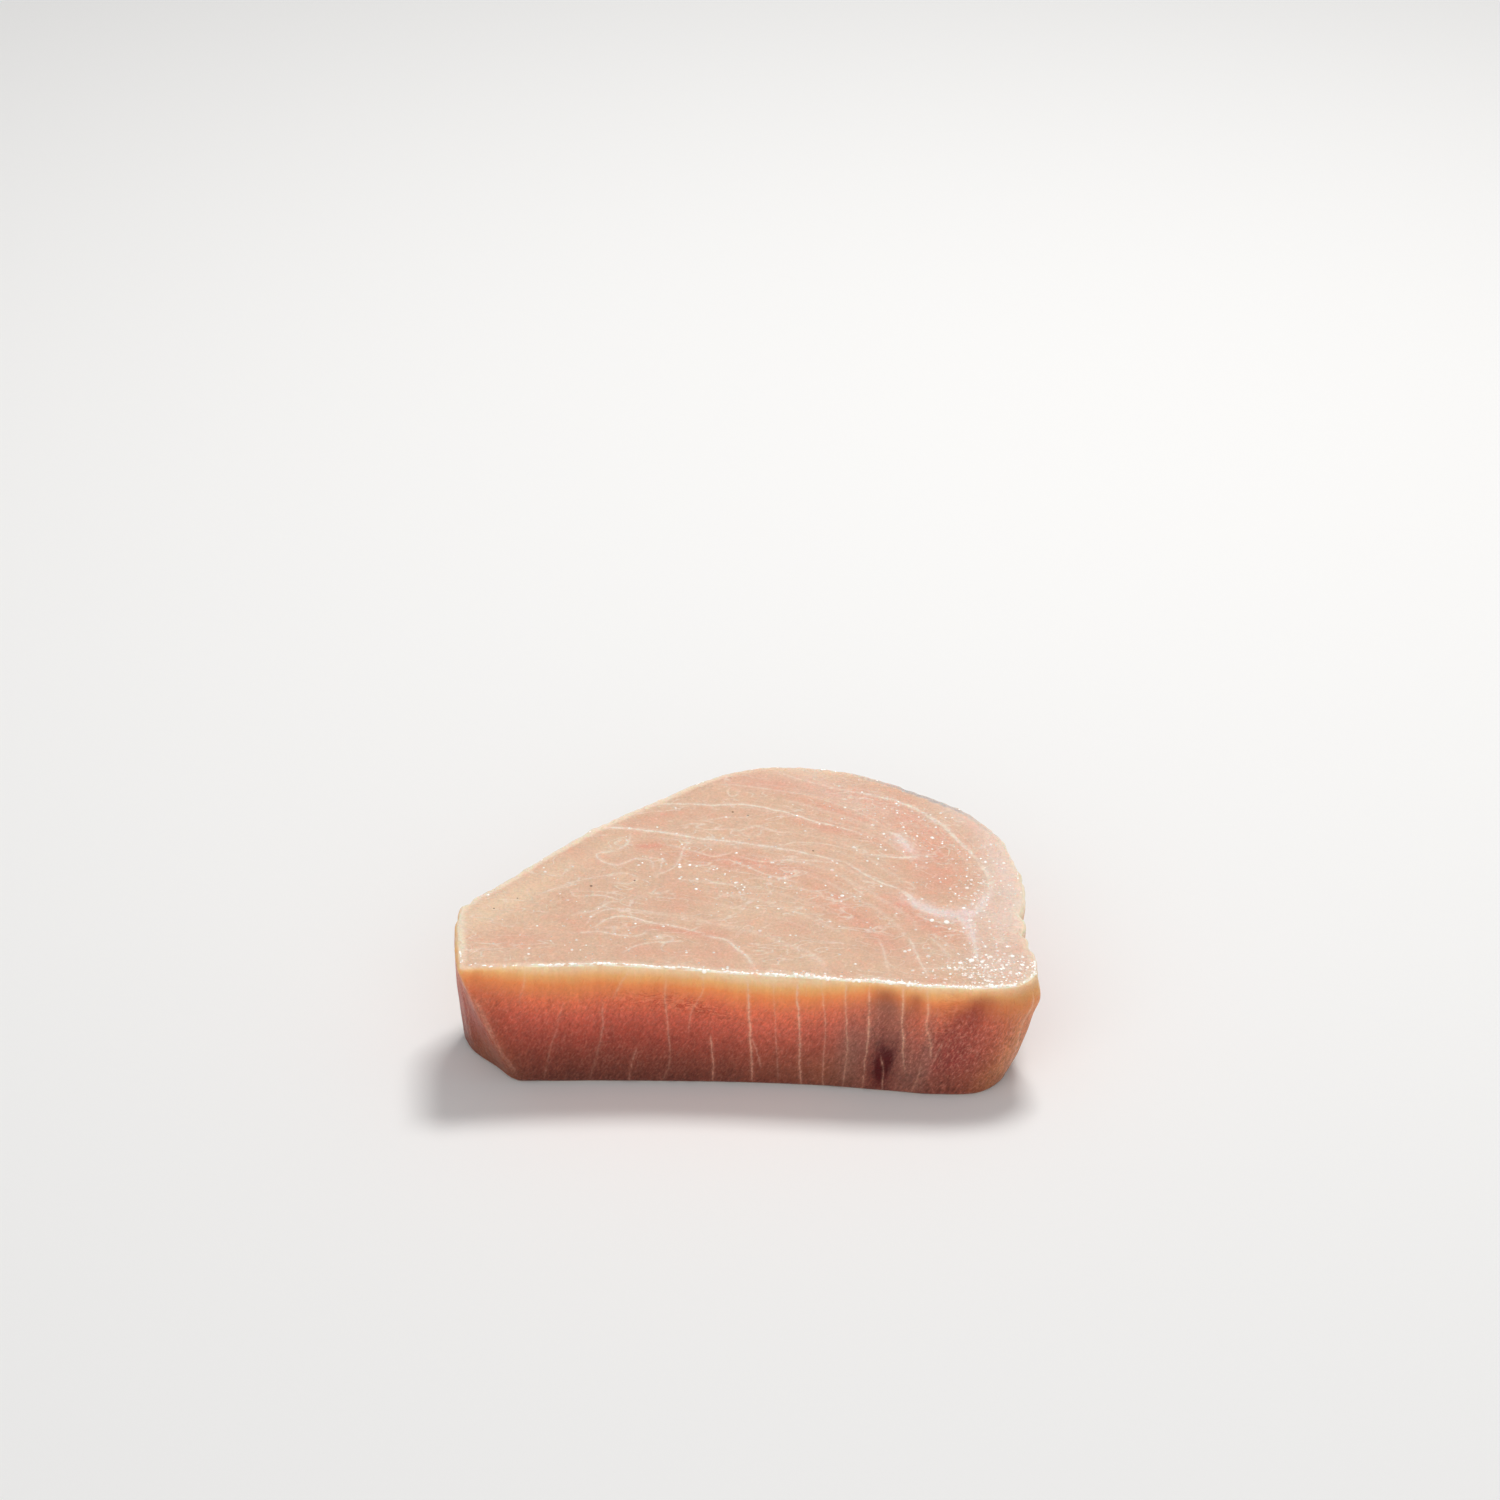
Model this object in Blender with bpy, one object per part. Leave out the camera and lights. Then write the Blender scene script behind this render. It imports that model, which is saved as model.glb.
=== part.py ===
"""A raw, boneless swordfish loin steak, lying on its lower cut face.

The steak is a slab cut across the loin. Seen from above it is a fan: a straight face where the
loin was split, a blunt tip on the left, a long arched skin side behind, and a torn right end.
Its two cut faces are nearly flat and its walls run between them, so the solid is a loft between
two unlike outlines: the rim round the upper face and the foot round the lower one.

Lengths are millimetres on a plan with +X to the right and +Y to the skin side. The finished
solid is in metres, centred on its bounding box in X and Y, with its lower face at Z = 0.
"""

import math

import bmesh
import bpy
import numpy as np

METRES = 0.001

# The slab: its thickness falls a little from the tip to the torn end. HALF_LENGTH is half the
# distance over which it falls, measured from the middle of the plan.
THICKNESS_AT_TIP = 26.6
THICKNESS_AT_TORN_END = 23.0
HALF_LENGTH = 55.5

# How tightly the knife's edges are rounded over.
RIM_RADIUS = 1.1
FOOT_RADIUS = 1.2

# How finely the solid is faceted.
AROUND = 168
WALL_STEPS = 8
EDGE_STEPS = 3
TOP_RINGS = (0.93, 0.78, 0.58, 0.34)
HUB = (0.0, -6.0)

# Each station goes round the steak anticlockwise: the rim's x and y, the foot's x and y, and how
# far the wall bellies out between the two.
STATIONS = {
    "tip arris": (-53.5, -37.7, -43.4, -36.9, 0.4),
    "split face at the tip": (-49.5, -37.5, -38.5, -37.3, 0.2),
    "split face, first": (-35.0, -36.6, -29.0, -37.3, 0.0),
    "split face, second": (-18.0, -36.2, -16.0, -37.5, 0.0),
    "split face, third": (2.0, -37.5, 2.8, -38.2, 0.1),
    "split face, fourth": (20.0, -39.2, 16.0, -39.3, 0.2),
    "split face, fifth": (34.0, -40.3, 27.0, -40.9, 0.3),
    "split face at the torn end": (44.5, -40.4, 36.8, -42.2, 0.4),
    "near corner": (51.6, -38.9, 45.4, -41.3, 0.9),
    "near corner's side": (55.0, -34.9, 49.6, -36.9, 1.4),
    "torn end, first": (55.6, -30.3, 51.0, -31.0, 1.3),
    "torn end, second": (54.5, -24.0, 51.8, -23.0, 0.8),
    "torn end, third": (54.5, -14.5, 52.4, -13.0, 0.5),
    "torn end, fourth": (55.4, -5.5, 53.0, -4.0, 0.5),
    "skin side, first": (54.6, 4.2, 52.2, 5.0, 0.9),
    "skin side, second": (51.6, 15.8, 49.0, 15.0, 1.0),
    "skin side, third": (45.0, 25.3, 42.8, 23.6, 1.1),
    "skin side, fourth": (35.6, 32.6, 33.8, 30.4, 1.2),
    "crown, first": (25.7, 38.8, 24.4, 36.4, 1.2),
    "crown, second": (14.0, 41.0, 13.4, 38.8, 1.1),
    "crown, third": (2.9, 39.4, 3.4, 37.2, 1.1),
    "skin side, fifth": (-9.1, 32.9, -7.6, 30.9, 1.0),
    "skin side, sixth": (-20.6, 22.8, -18.8, 21.0, 0.9),
    "skin side, seventh": (-34.3, 8.3, -32.4, 6.6, 0.8),
    "skin side at the tip": (-48.1, -8.8, -46.0, -10.4, 0.6),
    "tip, first": (-54.2, -15.4, -51.4, -16.4, 0.4),
    "tip, second": (-55.0, -21.3, -53.8, -20.6, 0.3),
    "tip, third": (-54.5, -29.0, -52.7, -25.6, 0.4),
    "tip, fourth": (-54.0, -35.7, -47.4, -32.4, 0.3),
}

# Creases run up a wall: the station that each is on, counted with a fraction, then its depth, its
# half width, and the share of the wall's height where it starts and where it ends. A depth below
# zero stands proud.
CREASES = (
    (11.35, 1.1, 1.3, 0.05, 1.2),
    (11.75, -0.5, 1.1, 0.30, 1.2),
    (12.05, 0.6, 2.6, -0.2, 1.2),
    (13.20, 1.5, 3.4, -0.2, 0.86),
    (14.35, -0.8, 3.0, -0.2, 0.80),
    (15.60, 1.4, 4.5, -0.2, 0.78),
    (17.40, 0.9, 3.4, -0.2, 0.72),
    (19.30, 1.5, 5.0, -0.2, 0.80),
    (21.50, 0.9, 3.8, -0.2, 0.74),
    (23.10, 1.3, 5.5, -0.2, 0.80),
    (24.75, 0.7, 1.3, 0.35, 1.2),
    (27.60, 0.4, 2.2, 0.00, 0.92),
)

# The lip that hangs over the near corner: station, how far it stands out, half width, the share
# of the wall's height that it sits at, and its half height as such a share.
LIP = (8.9, 1.0, 5.5, 0.82, 0.13)

# The knife left the upper face gently wavy: height, wavelength and heading in degrees.
KNIFE_WAVES = ((0.16, 46.0, 12.0), (0.10, 27.0, 68.0), (0.06, 15.0, 150.0))

FLESH = (0.78, 0.50, 0.38, 1.0)


def closed_curve(points, at):
    """Points on a smooth closed curve through the given ones. `at` counts points with a fraction.

    Each span is a cubic that leaves and arrives along the weighted mean of the chords beside it.
    """
    points = np.asarray(points, float)
    count = len(points)
    chord = np.roll(points, -1, axis=0) - points
    length = np.linalg.norm(chord, axis=1)
    slope = chord / length[:, None]
    before = np.roll(length, 1)
    slope_before = np.roll(slope, 1, axis=0)
    tangent = (slope * before[:, None] + slope_before * length[:, None]) / (length + before)[:, None]
    span = np.floor(at).astype(int) % count
    following = (span + 1) % count
    t = (at - np.floor(at))[:, None]
    reach = length[span][:, None]
    return (
        points[span] * (2 * t**3 - 3 * t**2 + 1)
        + tangent[span] * reach * (t**3 - 2 * t**2 + t)
        + points[following] * (3 * t**2 - 2 * t**3)
        + tangent[following] * reach * (t**3 - t**2)
    )


def arc_lengths(loop):
    """The distance along a closed loop at which each of its points lies, and its whole length."""
    steps = np.linalg.norm(np.roll(loop, -1, axis=0) - loop, axis=1)
    return np.concatenate([[0.0], np.cumsum(steps)[:-1]]), steps.sum()


def even_positions(points, count):
    """Positions that divide the curve through the points into equal lengths."""
    fine = np.linspace(0.0, len(points), 4000, endpoint=False)
    along, whole = arc_lengths(closed_curve(points, fine))
    wanted = np.arange(count) / count * whole
    return np.interp(wanted, np.append(along, whole), np.append(fine, float(len(points))))


def outward_normals(loop):
    """Unit vectors that point out of an anticlockwise loop, in its plane."""
    heading = np.roll(loop, -1, axis=0) - np.roll(loop, 1, axis=0)
    normals = np.stack([heading[:, 1], -heading[:, 0]], axis=1)
    return normals / np.linalg.norm(normals, axis=1)[:, None]


def smooth_step(value):
    value = np.clip(value, 0.0, 1.0)
    return value * value * (3.0 - 2.0 * value)


class Wall:
    """The outlines of the steak at any share of its height, and the distances along its rim."""

    def __init__(self):
        stations = np.array(list(STATIONS.values()))
        self.at = even_positions(stations[:, 0:2], AROUND)
        self.rim = closed_curve(stations[:, 0:2], self.at)
        self.foot = closed_curve(stations[:, 2:4], self.at)
        bellies = np.append(stations[:, 4], stations[0, 4])
        self.belly = np.interp(self.at, np.arange(len(bellies)), bellies)
        self.normals = outward_normals(self.rim)
        self.along, self.round = arc_lengths(self.rim)

    def distance_from(self, station):
        """How far each point of the rim is from a station, along the rim."""
        there = np.interp(station, self.at, self.along)
        away = np.abs(self.along - there)
        return np.minimum(away, self.round - away)

    def creased(self, share):
        """How far the creases and the lip move each point outwards at this share of the height."""
        moved = np.zeros(AROUND)
        for station, depth, half_width, start, end in CREASES:
            fade = smooth_step((share - start) / 0.22) * smooth_step((end - share) / 0.22)
            moved -= depth * fade * np.exp(-((self.distance_from(station) / half_width) ** 2))
        station, height, half_width, level, half_level = LIP
        hang = math.exp(-(((share - level) / half_level) ** 2))
        return moved + height * hang * np.exp(-((self.distance_from(station) / half_width) ** 2))

    def outline(self, share, inset=0.0):
        """The outline at a share of the height, drawn in by `inset` for a rounded edge."""
        plan = self.foot + (self.rim - self.foot) * share
        out = self.belly * 4.0 * share * (1.0 - share) + self.creased(share) - inset
        return plan + self.normals * out[:, None]


def thickness(plan):
    """The height of the upper cut face: a wedge with the knife's waves on it."""
    share = (plan[:, 0] + HALF_LENGTH) / (2.0 * HALF_LENGTH)
    height = THICKNESS_AT_TIP + (THICKNESS_AT_TORN_END - THICKNESS_AT_TIP) * share
    for amplitude, wavelength, heading in KNIFE_WAVES:
        turn = math.radians(heading)
        way = plan[:, 0] * math.cos(turn) + plan[:, 1] * math.sin(turn)
        height = height + amplitude * np.sin(2.0 * math.pi * way / wavelength)
    return height


def sections():
    """The loops of the loft from the lower face's edge, up the wall and over the upper face."""
    wall = Wall()
    top = thickness(wall.rim)
    loops = []
    for step in range(EDGE_STEPS):
        turn = 0.5 * math.pi * step / EDGE_STEPS
        plan = wall.outline(0.0, FOOT_RADIUS * (1.0 - math.sin(turn)))
        loops.append((plan, np.full(AROUND, FOOT_RADIUS * (1.0 - math.cos(turn)))))
    for step in range(WALL_STEPS + 1):
        share = step / WALL_STEPS
        loops.append((wall.outline(share), FOOT_RADIUS + (top - RIM_RADIUS - FOOT_RADIUS) * share))
    for step in range(1, EDGE_STEPS + 1):
        turn = 0.5 * math.pi * step / EDGE_STEPS
        plan = wall.outline(1.0, RIM_RADIUS * (1.0 - math.cos(turn)))
        loops.append((plan, top - RIM_RADIUS * (1.0 - math.sin(turn))))
    edge = loops[-1][0]
    for scale in TOP_RINGS:
        plan = np.array(HUB) + (edge - np.array(HUB)) * scale
        loops.append((plan, thickness(plan)))
    return loops


def add_loop(mesh, plan, heights):
    return [mesh.verts.new((x, y, z)) for (x, y), z in zip(plan * METRES, heights * METRES)]


def join_loops(mesh, lower, upper):
    """One band of quads between two loops of equal count."""
    for index in range(len(lower)):
        after = (index + 1) % len(lower)
        mesh.faces.new((lower[index], lower[after], upper[after], upper[index]))


def close_upper_face(mesh, loop):
    """A fan from the hub of the upper cut face."""
    hub = np.array([HUB])
    centre = mesh.verts.new((HUB[0] * METRES, HUB[1] * METRES, thickness(hub)[0] * METRES))
    for index in range(len(loop)):
        mesh.faces.new((loop[index], loop[(index + 1) % len(loop)], centre))


def centre_on_base(mesh):
    """Moves the mesh so that its bounding box is centred in X and Y over the origin."""
    spots = np.array([vert.co for vert in mesh.verts])
    middle = (spots.min(axis=0) + spots.max(axis=0)) / 2.0
    bmesh.ops.translate(mesh, verts=mesh.verts, vec=(-middle[0], -middle[1], 0.0))


def flesh_material():
    material = bpy.data.materials.new("raw_swordfish")
    material.use_nodes = True
    shader = material.node_tree.nodes["Principled BSDF"]
    shader.inputs["Base Color"].default_value = FLESH
    shader.inputs["Roughness"].default_value = 0.32
    shader.inputs["Metallic"].default_value = 0.0
    shader.inputs["Subsurface Weight"].default_value = 0.3
    return material


def steak(collection):
    """The whole steak as one closed body: a loft up the wall, one flat foot, and a fanned top."""
    mesh = bmesh.new()
    loops = [add_loop(mesh, plan, heights) for plan, heights in sections()]
    mesh.faces.new(list(reversed(loops[0])))
    for lower, upper in zip(loops, loops[1:]):
        join_loops(mesh, lower, upper)
    close_upper_face(mesh, loops[-1])
    centre_on_base(mesh)
    bmesh.ops.recalc_face_normals(mesh, faces=mesh.faces)
    data = bpy.data.meshes.new("steak")
    mesh.to_mesh(data)
    mesh.free()
    data.shade_smooth()
    data.set_sharp_from_angle(angle=math.radians(50))
    body = bpy.data.objects.new("steak", data)
    body.data.materials.append(flesh_material())
    collection.objects.link(body)
    return body


def main():
    for old in list(bpy.data.objects):
        bpy.data.objects.remove(old, do_unlink=True)
    collection = bpy.data.collections.new("swordfish_steak")
    bpy.context.scene.collection.children.link(collection)
    steak(collection)


main()
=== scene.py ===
"""Looks for a raw swordfish loin steak: its fine surface, its flesh and its beads of moisture.

The steak's surface is one grid. A column is a place round the steak and a row is a step along
the profile that climbs from the middle of the lower face, round the foot, up the wall, over the
rim and in to the middle of the upper face. Lengths are millimetres until a mesh is made.
"""

import functools
import math

import bpy
import numpy as np
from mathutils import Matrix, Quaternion, Vector


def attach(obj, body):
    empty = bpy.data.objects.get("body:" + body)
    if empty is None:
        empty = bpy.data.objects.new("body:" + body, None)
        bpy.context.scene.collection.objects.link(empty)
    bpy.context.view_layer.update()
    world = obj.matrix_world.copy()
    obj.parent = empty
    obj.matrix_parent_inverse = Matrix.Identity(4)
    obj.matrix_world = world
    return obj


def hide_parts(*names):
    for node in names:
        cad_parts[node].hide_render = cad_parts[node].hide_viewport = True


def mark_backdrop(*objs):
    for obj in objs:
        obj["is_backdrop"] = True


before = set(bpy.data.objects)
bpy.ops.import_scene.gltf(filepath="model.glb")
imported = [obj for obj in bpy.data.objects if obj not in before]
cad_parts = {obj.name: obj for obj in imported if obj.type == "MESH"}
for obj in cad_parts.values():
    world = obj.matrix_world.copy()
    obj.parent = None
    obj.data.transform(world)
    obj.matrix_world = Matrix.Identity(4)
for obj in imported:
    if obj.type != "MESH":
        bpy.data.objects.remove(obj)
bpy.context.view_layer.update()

METRES = 0.001

# ----------------------------------------
# The steak's form, in the same named values as its solid.

THICKNESS_AT_TIP = 26.6
THICKNESS_AT_TORN_END = 23.0
HALF_LENGTH = 55.5
RIM_RADIUS = 1.1
FOOT_RADIUS = 1.2
HUB = np.array([0.0, -6.0])

# Each station goes round the steak anticlockwise: the rim's x and y, the foot's x and y, and how
# far the wall bellies out between the two.
STATIONS = {
    "tip arris": (-53.5, -37.7, -43.4, -36.9, 0.4),
    "split face at the tip": (-49.5, -37.5, -38.5, -37.3, 0.2),
    "split face, first": (-35.0, -36.6, -29.0, -37.3, 0.0),
    "split face, second": (-18.0, -36.2, -16.0, -37.5, 0.0),
    "split face, third": (2.0, -37.5, 2.8, -38.2, 0.1),
    "split face, fourth": (20.0, -39.2, 16.0, -39.3, 0.2),
    "split face, fifth": (34.0, -40.3, 27.0, -40.9, 0.3),
    "split face at the torn end": (44.5, -40.4, 36.8, -42.2, 0.4),
    "near corner": (51.6, -38.9, 45.4, -41.3, 0.9),
    "near corner's side": (55.0, -34.9, 49.6, -36.9, 1.4),
    "torn end, first": (55.6, -30.3, 51.0, -31.0, 1.3),
    "torn end, second": (54.5, -24.0, 51.8, -23.0, 0.3),
    "torn end, third": (54.5, -14.5, 52.4, -13.0, 0.0),
    "torn end, fourth": (55.4, -5.5, 53.0, -4.0, 0.0),
    "skin side, first": (54.6, 4.2, 52.2, 5.0, 0.9),
    "skin side, second": (51.6, 15.8, 49.0, 15.0, 1.0),
    "skin side, third": (45.0, 25.3, 42.8, 23.6, 1.1),
    "skin side, fourth": (35.6, 32.6, 33.8, 30.4, 1.2),
    "crown, first": (25.7, 38.8, 24.4, 36.4, 1.2),
    "crown, second": (14.0, 41.0, 13.4, 38.8, 1.1),
    "crown, third": (2.9, 39.4, 3.4, 37.2, 1.1),
    "skin side, fifth": (-9.1, 32.9, -7.6, 30.9, 1.0),
    "skin side, sixth": (-20.6, 22.8, -18.8, 21.0, 0.9),
    "skin side, seventh": (-34.3, 8.3, -32.4, 6.6, 0.8),
    "skin side at the tip": (-48.1, -8.8, -46.0, -10.4, 0.6),
    "tip, first": (-54.2, -15.4, -51.4, -16.4, 0.4),
    "tip, second": (-55.0, -21.3, -53.8, -20.6, 0.3),
    "tip, third": (-54.5, -29.0, -52.7, -25.6, 0.4),
    "tip, fourth": (-54.0, -35.7, -47.4, -32.4, 0.3),
}

# Creases up a wall: station, depth, half width, and the shares of the height where each starts
# and ends. A depth below zero stands proud.
CREASES = (
    (11.35, 1.1, 1.3, 0.05, 1.2),
    (11.75, -0.3, 1.1, 0.30, 1.2),
    (12.05, 0.6, 2.6, -0.2, 1.2),
    (13.20, 1.5, 3.4, -0.2, 0.86),
    (14.35, -0.8, 3.0, -0.2, 0.80),
    (15.60, 1.4, 4.5, -0.2, 0.78),
    (17.40, 0.9, 3.4, -0.2, 0.72),
    (19.30, 1.5, 5.0, -0.2, 0.80),
    (21.50, 0.9, 3.8, -0.2, 0.74),
    (23.10, 1.3, 5.5, -0.2, 0.80),
    (24.75, 0.7, 1.3, 0.35, 1.2),
    (27.60, 0.4, 2.2, 0.00, 0.92),
)
# The share of the height over which a crease fades in and out.
CREASE_FADE = 0.22
# The lip over the near corner: its station, how far it hangs out and its half width, then the
# share of the height where it hangs out most and half of the share that it takes up.
LIP = (8.9, 1.0, 5.5, 0.82, 0.13)
# The knife's waves on the upper face: height, wavelength and heading in degrees.
KNIFE_WAVES = ((0.16, 46.0, 12.0), (0.10, 27.0, 68.0), (0.06, 15.0, 150.0))

# How finely the surface is divided, a piece of the profile at a time.
AROUND = 640
LOWER_RINGS = (0.25, 0.5, 0.72, 0.87, 0.95, 0.985)
FOOT_STEPS = 6
WALL_STEPS = 44
RIM_STEPS = 8
UPPER_RINGS = 74
# The columns on either side that a normal is averaged with for a rounded edge, and their weights.
EASING = tuple((shift, 0.1 * (1.0 + math.cos(math.pi * shift / 5.0))) for shift in range(-5, 6))
# The points that the length of a closed curve is measured with.
MEASURING_STEPS = 4000

# Uneven fields that roughen the surface: height, shortest and longest wave, and seed.
SWELLS = ((0.09, 7.0, 16.0, 3), (0.035, 2.2, 5.0, 5))
FOLDS = ((0.11, 4.0, 11.0, 7), (0.05, 1.6, 3.4, 11))
RAGGED_RIM = ((0.09, 1.6, 4.5, 13),)
FORK_DEPTH = 0.22

# Stretches of the wall by station: start, rise after it, end and fall before it.
SPLIT_FACE_END = 8.0
TIP_FACET_START = 28.0
SKIN_SIDE = (11.6, 4.0, 26.4, 3.0)
FAT_BAND = (19.5, 2.0, 28.6, 1.5)
TORN_END = (8.6, 2.0, 15.0, 2.5)
# The middle and half width of the silver skin's stretch.
SILVER_SKIN_SPAN = (16.6, 1.3)

# ----------------------------------------
# The septa: thin white sheets between the muscle blocks, which a cut shows as lines. Each line
# has a strength, its half width or those from end to end, and the points it runs through.

CUT_SEPTA = {
    "first long": (0.95, (0.2, 0.26, 0.24, 0.2), ((-18.6, 24.4), (-13.6, 25.4), (-5.7, 24.9),
        (0.2, 25.5), (7.8, 22.8), (15.6, 19.2), (26, 14.4))),
    "second long": (1.0, (0.34, 0.32, 0.24), ((-29.6, 14.2), (-24.7, 15), (-18, 14), (-9.8, 12.2),
        (0.2, 10.1), (8, 8.2), (15, 6), (20.7, 3.6))),
    "second long's end": (0.85, (0.22, 0.26, 0.3), ((20, 3.9), (23.1, 0.5), (25.6, -2.4),
        (30.1, -5.5))),
    "outer arc": (0.85, (0.26, 0.44, 0.4), ((19.6, 32.6), (28.9, 29.7), (34.3, 26.2), (39.8, 19.7),
        (43.7, 12), (46.7, 5.6))),
    "outer arc's end": (0.62, (0.44, 0.56), ((46.4, 6), (48, -0.6), (47.7, -5.9), (46, -9.8))),
    "outer arc's start": (0.4, (0.2, 0.26), ((8.2, 38.2), (12.7, 35.4), (20.2, 32.4))),
    "inner arc": (0.42, (0.2, 0.22), ((-5.5, 33.2), (3.7, 31.8), (14.2, 29), (21.7, 25.2), (26, 21),
        (30.3, 17.2))),
    "tuft": (0.95, (0.3, 0.55, 0.6), ((29.2, 16.6), (30.9, 15.3), (32.1, 12.7), (33.4, 9.6))),
    "tuft's foot": (0.8, (0.2, 0.26, 0.5), ((24.3, 7.4), (27.7, 7.4), (31.1, 6.7), (34.4, 7.4))),
    "third long": (0.45, 0.2, ((7.5, 9), (10, 10.8), (12.9, 11.1), (17, 10.5), (22, 8.6))),
    "fourth long": (0.45, 0.22, ((-1, 5), (3, 3.4), (9.2, 4.3), (15.3, 3.7), (18.5, 3.2))),
    "fork's left arm": (1.0, (0.3, 0.75, 0.85, 0.8), ((30.1, -5.6), (32.4, -8.4), (34.6, -11.6),
        (37.6, -13.3), (42, -13.8))),
    "fork's right arm": (0.9, (0.8, 0.7, 0.5), ((41.4, -14), (44.6, -12.4), (46.4, -9), (47.2, -6))),
    "fork's stem": (0.95, (0.95, 0.6, 0.34, 0.24), ((40.6, -14.4), (42.6, -17), (43.4, -20.4),
        (43.5, -25), (43.7, -30.4))),
    "fork's underside": (0.6, 0.18, ((32.8, -14.2), (36.2, -16.6), (39.4, -17.2), (41, -15.6))),
    "under the crown": (0.35, 0.2, ((-7.3, 18.9), (-5, 19.8), (-1.1, 20.4), (3, 19.4))),
    "small wave": (0.45, 0.22, ((-3.3, 16.1), (-1, 15), (2.5, 16.7), (6.4, 15.1), (11, 14.6))),
    "left loop": (0.65, 0.24, ((-22.2, 13.4), (-23.1, 8.9), (-25.5, 6.4), (-28.9, 4.6), (-27.6, 2),
        (-24.6, 1.1), (-21, 3.6), (-18.2, 3), (-17.7, 0.3))),
    "hook": (0.55, 0.22, ((-9.8, 12.2), (-11.6, 8.4), (-12.4, 4.4), (-13.8, 1), (-17.5, -2.2))),
    "left wave": (0.5, 0.2, ((-16.2, 9.3), (-9.5, 7), (-6, 4.9), (-2.6, 6.4))),
    "middle wave": (0.55, 0.22, ((-6, 3.4), (-3.3, 3.9), (0, 1.7), (5.9, -2), (10.3, -4))),
    "small loop": (0.45, 0.2, ((-27.8, -3.4), (-23.5, -2.2), (-20.8, -3.6), (-22.3, -5.7),
        (-25.8, -6))),
    "tip arc": (0.45, 0.2, ((-40.2, -11.2), (-35.1, -7.8), (-28.5, -3.7), (-24, -2.9))),
    "tip wave": (0.55, 0.22, ((-33.9, -9.4), (-33, -11.2), (-29.6, -11), (-27, -11), (-23.9, -12.3))),
    "tip hook": (0.5, 0.2, ((-23.9, -12.5), (-26.5, -13.4), (-28.3, -15.8), (-32.7, -17.8))),
    "near wave": (0.45, 0.2, ((-30.5, -20.7), (-29.4, -18), (-26, -15.6), (-21, -15.5),
        (-15.5, -16.6))),
    "near line": (0.7, (0.2, 0.26, 0.22), ((-29, -21.7), (-26, -18.7), (-22.8, -18), (-18.8, -19.6),
        (-13.7, -20.8), (-8.2, -22.7))),
    "near line's end": (0.7, (0.26, 0.34, 0.3), ((-8.2, -23.4), (-4.6, -24.8), (-2.1, -28.2),
        (-0.2, -30.4), (1.2, -34.4))),
    "second near line": (0.55, 0.22, ((-33.3, -24.3), (-28.6, -23.6), (-24, -24.4), (-20.6, -24.4),
        (-18.6, -22.4))),
    "near eye": (0.45, 0.2, ((-17.9, -25.3), (-15.9, -24.3), (-14.1, -25.1), (-15.6, -26.6),
        (-17.6, -26.4))),
    "near curl": (0.45, 0.2, ((-23.3, -30.6), (-21.4, -28.2), (-18, -26.8))),
    "short stroke": (0.5, 0.3, ((-18.9, -8.8), (-16.8, -9), (-14.6, -8))),
    "curl": (0.5, 0.2, ((14.6, -7.6), (16, -10.1), (18.4, -10.2), (22.3, -7.2))),
    "eye": (0.45, 0.2, ((29.6, -2.4), (32.4, -3.2), (33.2, -5.2), (31.2, -4.6))),
    "band's near side": (0.4, 0.24, ((25.2, -24), (26, -29.4), (26.4, -35))),
    "band's far side": (0.55, 0.26, ((31, -22.6), (32, -28), (33.9, -36.4))),
    "pale strokes, first": (0.4, 0.3, ((34.6, -21.8), (37.1, -25.8), (38.4, -28.6))),
    "pale strokes, second": (0.35, 0.24, ((36.2, -21.4), (38.4, -24.6), (39.4, -26.6))),
    "near corner stroke": (0.4, 0.24, ((32.4, -33.6), (36, -33.2), (40.6, -33.4))),
}

# The muscle blocks nest in one another. Guides follow them from the crown inwards, and faint
# septa run at random between each guide and the next.
GUIDES = (
    ((8.2, 38.2), (19.6, 32.6), (28.9, 29.7), (39.8, 19.7), (46.7, 5.6), (48.1, -2.7), (44, -13)),
    ((-5.5, 33.2), (3.7, 31.8), (18.3, 27.1), (28.3, 19.1), (35, 10), (39, 0), (41, -10)),
    ((-13.6, 25.4), (0.2, 25.5), (11.7, 21.3), (26, 14.4), (31, 8), (34, 0), (38, -9)),
    ((-24.7, 15), (-5.9, 11.6), (9.4, 8.9), (20.7, 3.9), (25.3, -2.6), (30.1, -5.5), (36, -12.6)),
    ((-38, 0), (-18, -2), (0, -3), (12, -8), (22, -16), (28, -26), (30, -36)),
    ((-49, -14), (-30, -16), (-14, -18), (-2, -22), (6, -27), (12, -32), (14, -37)),
)
FAINT_BETWEEN = 4

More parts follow.
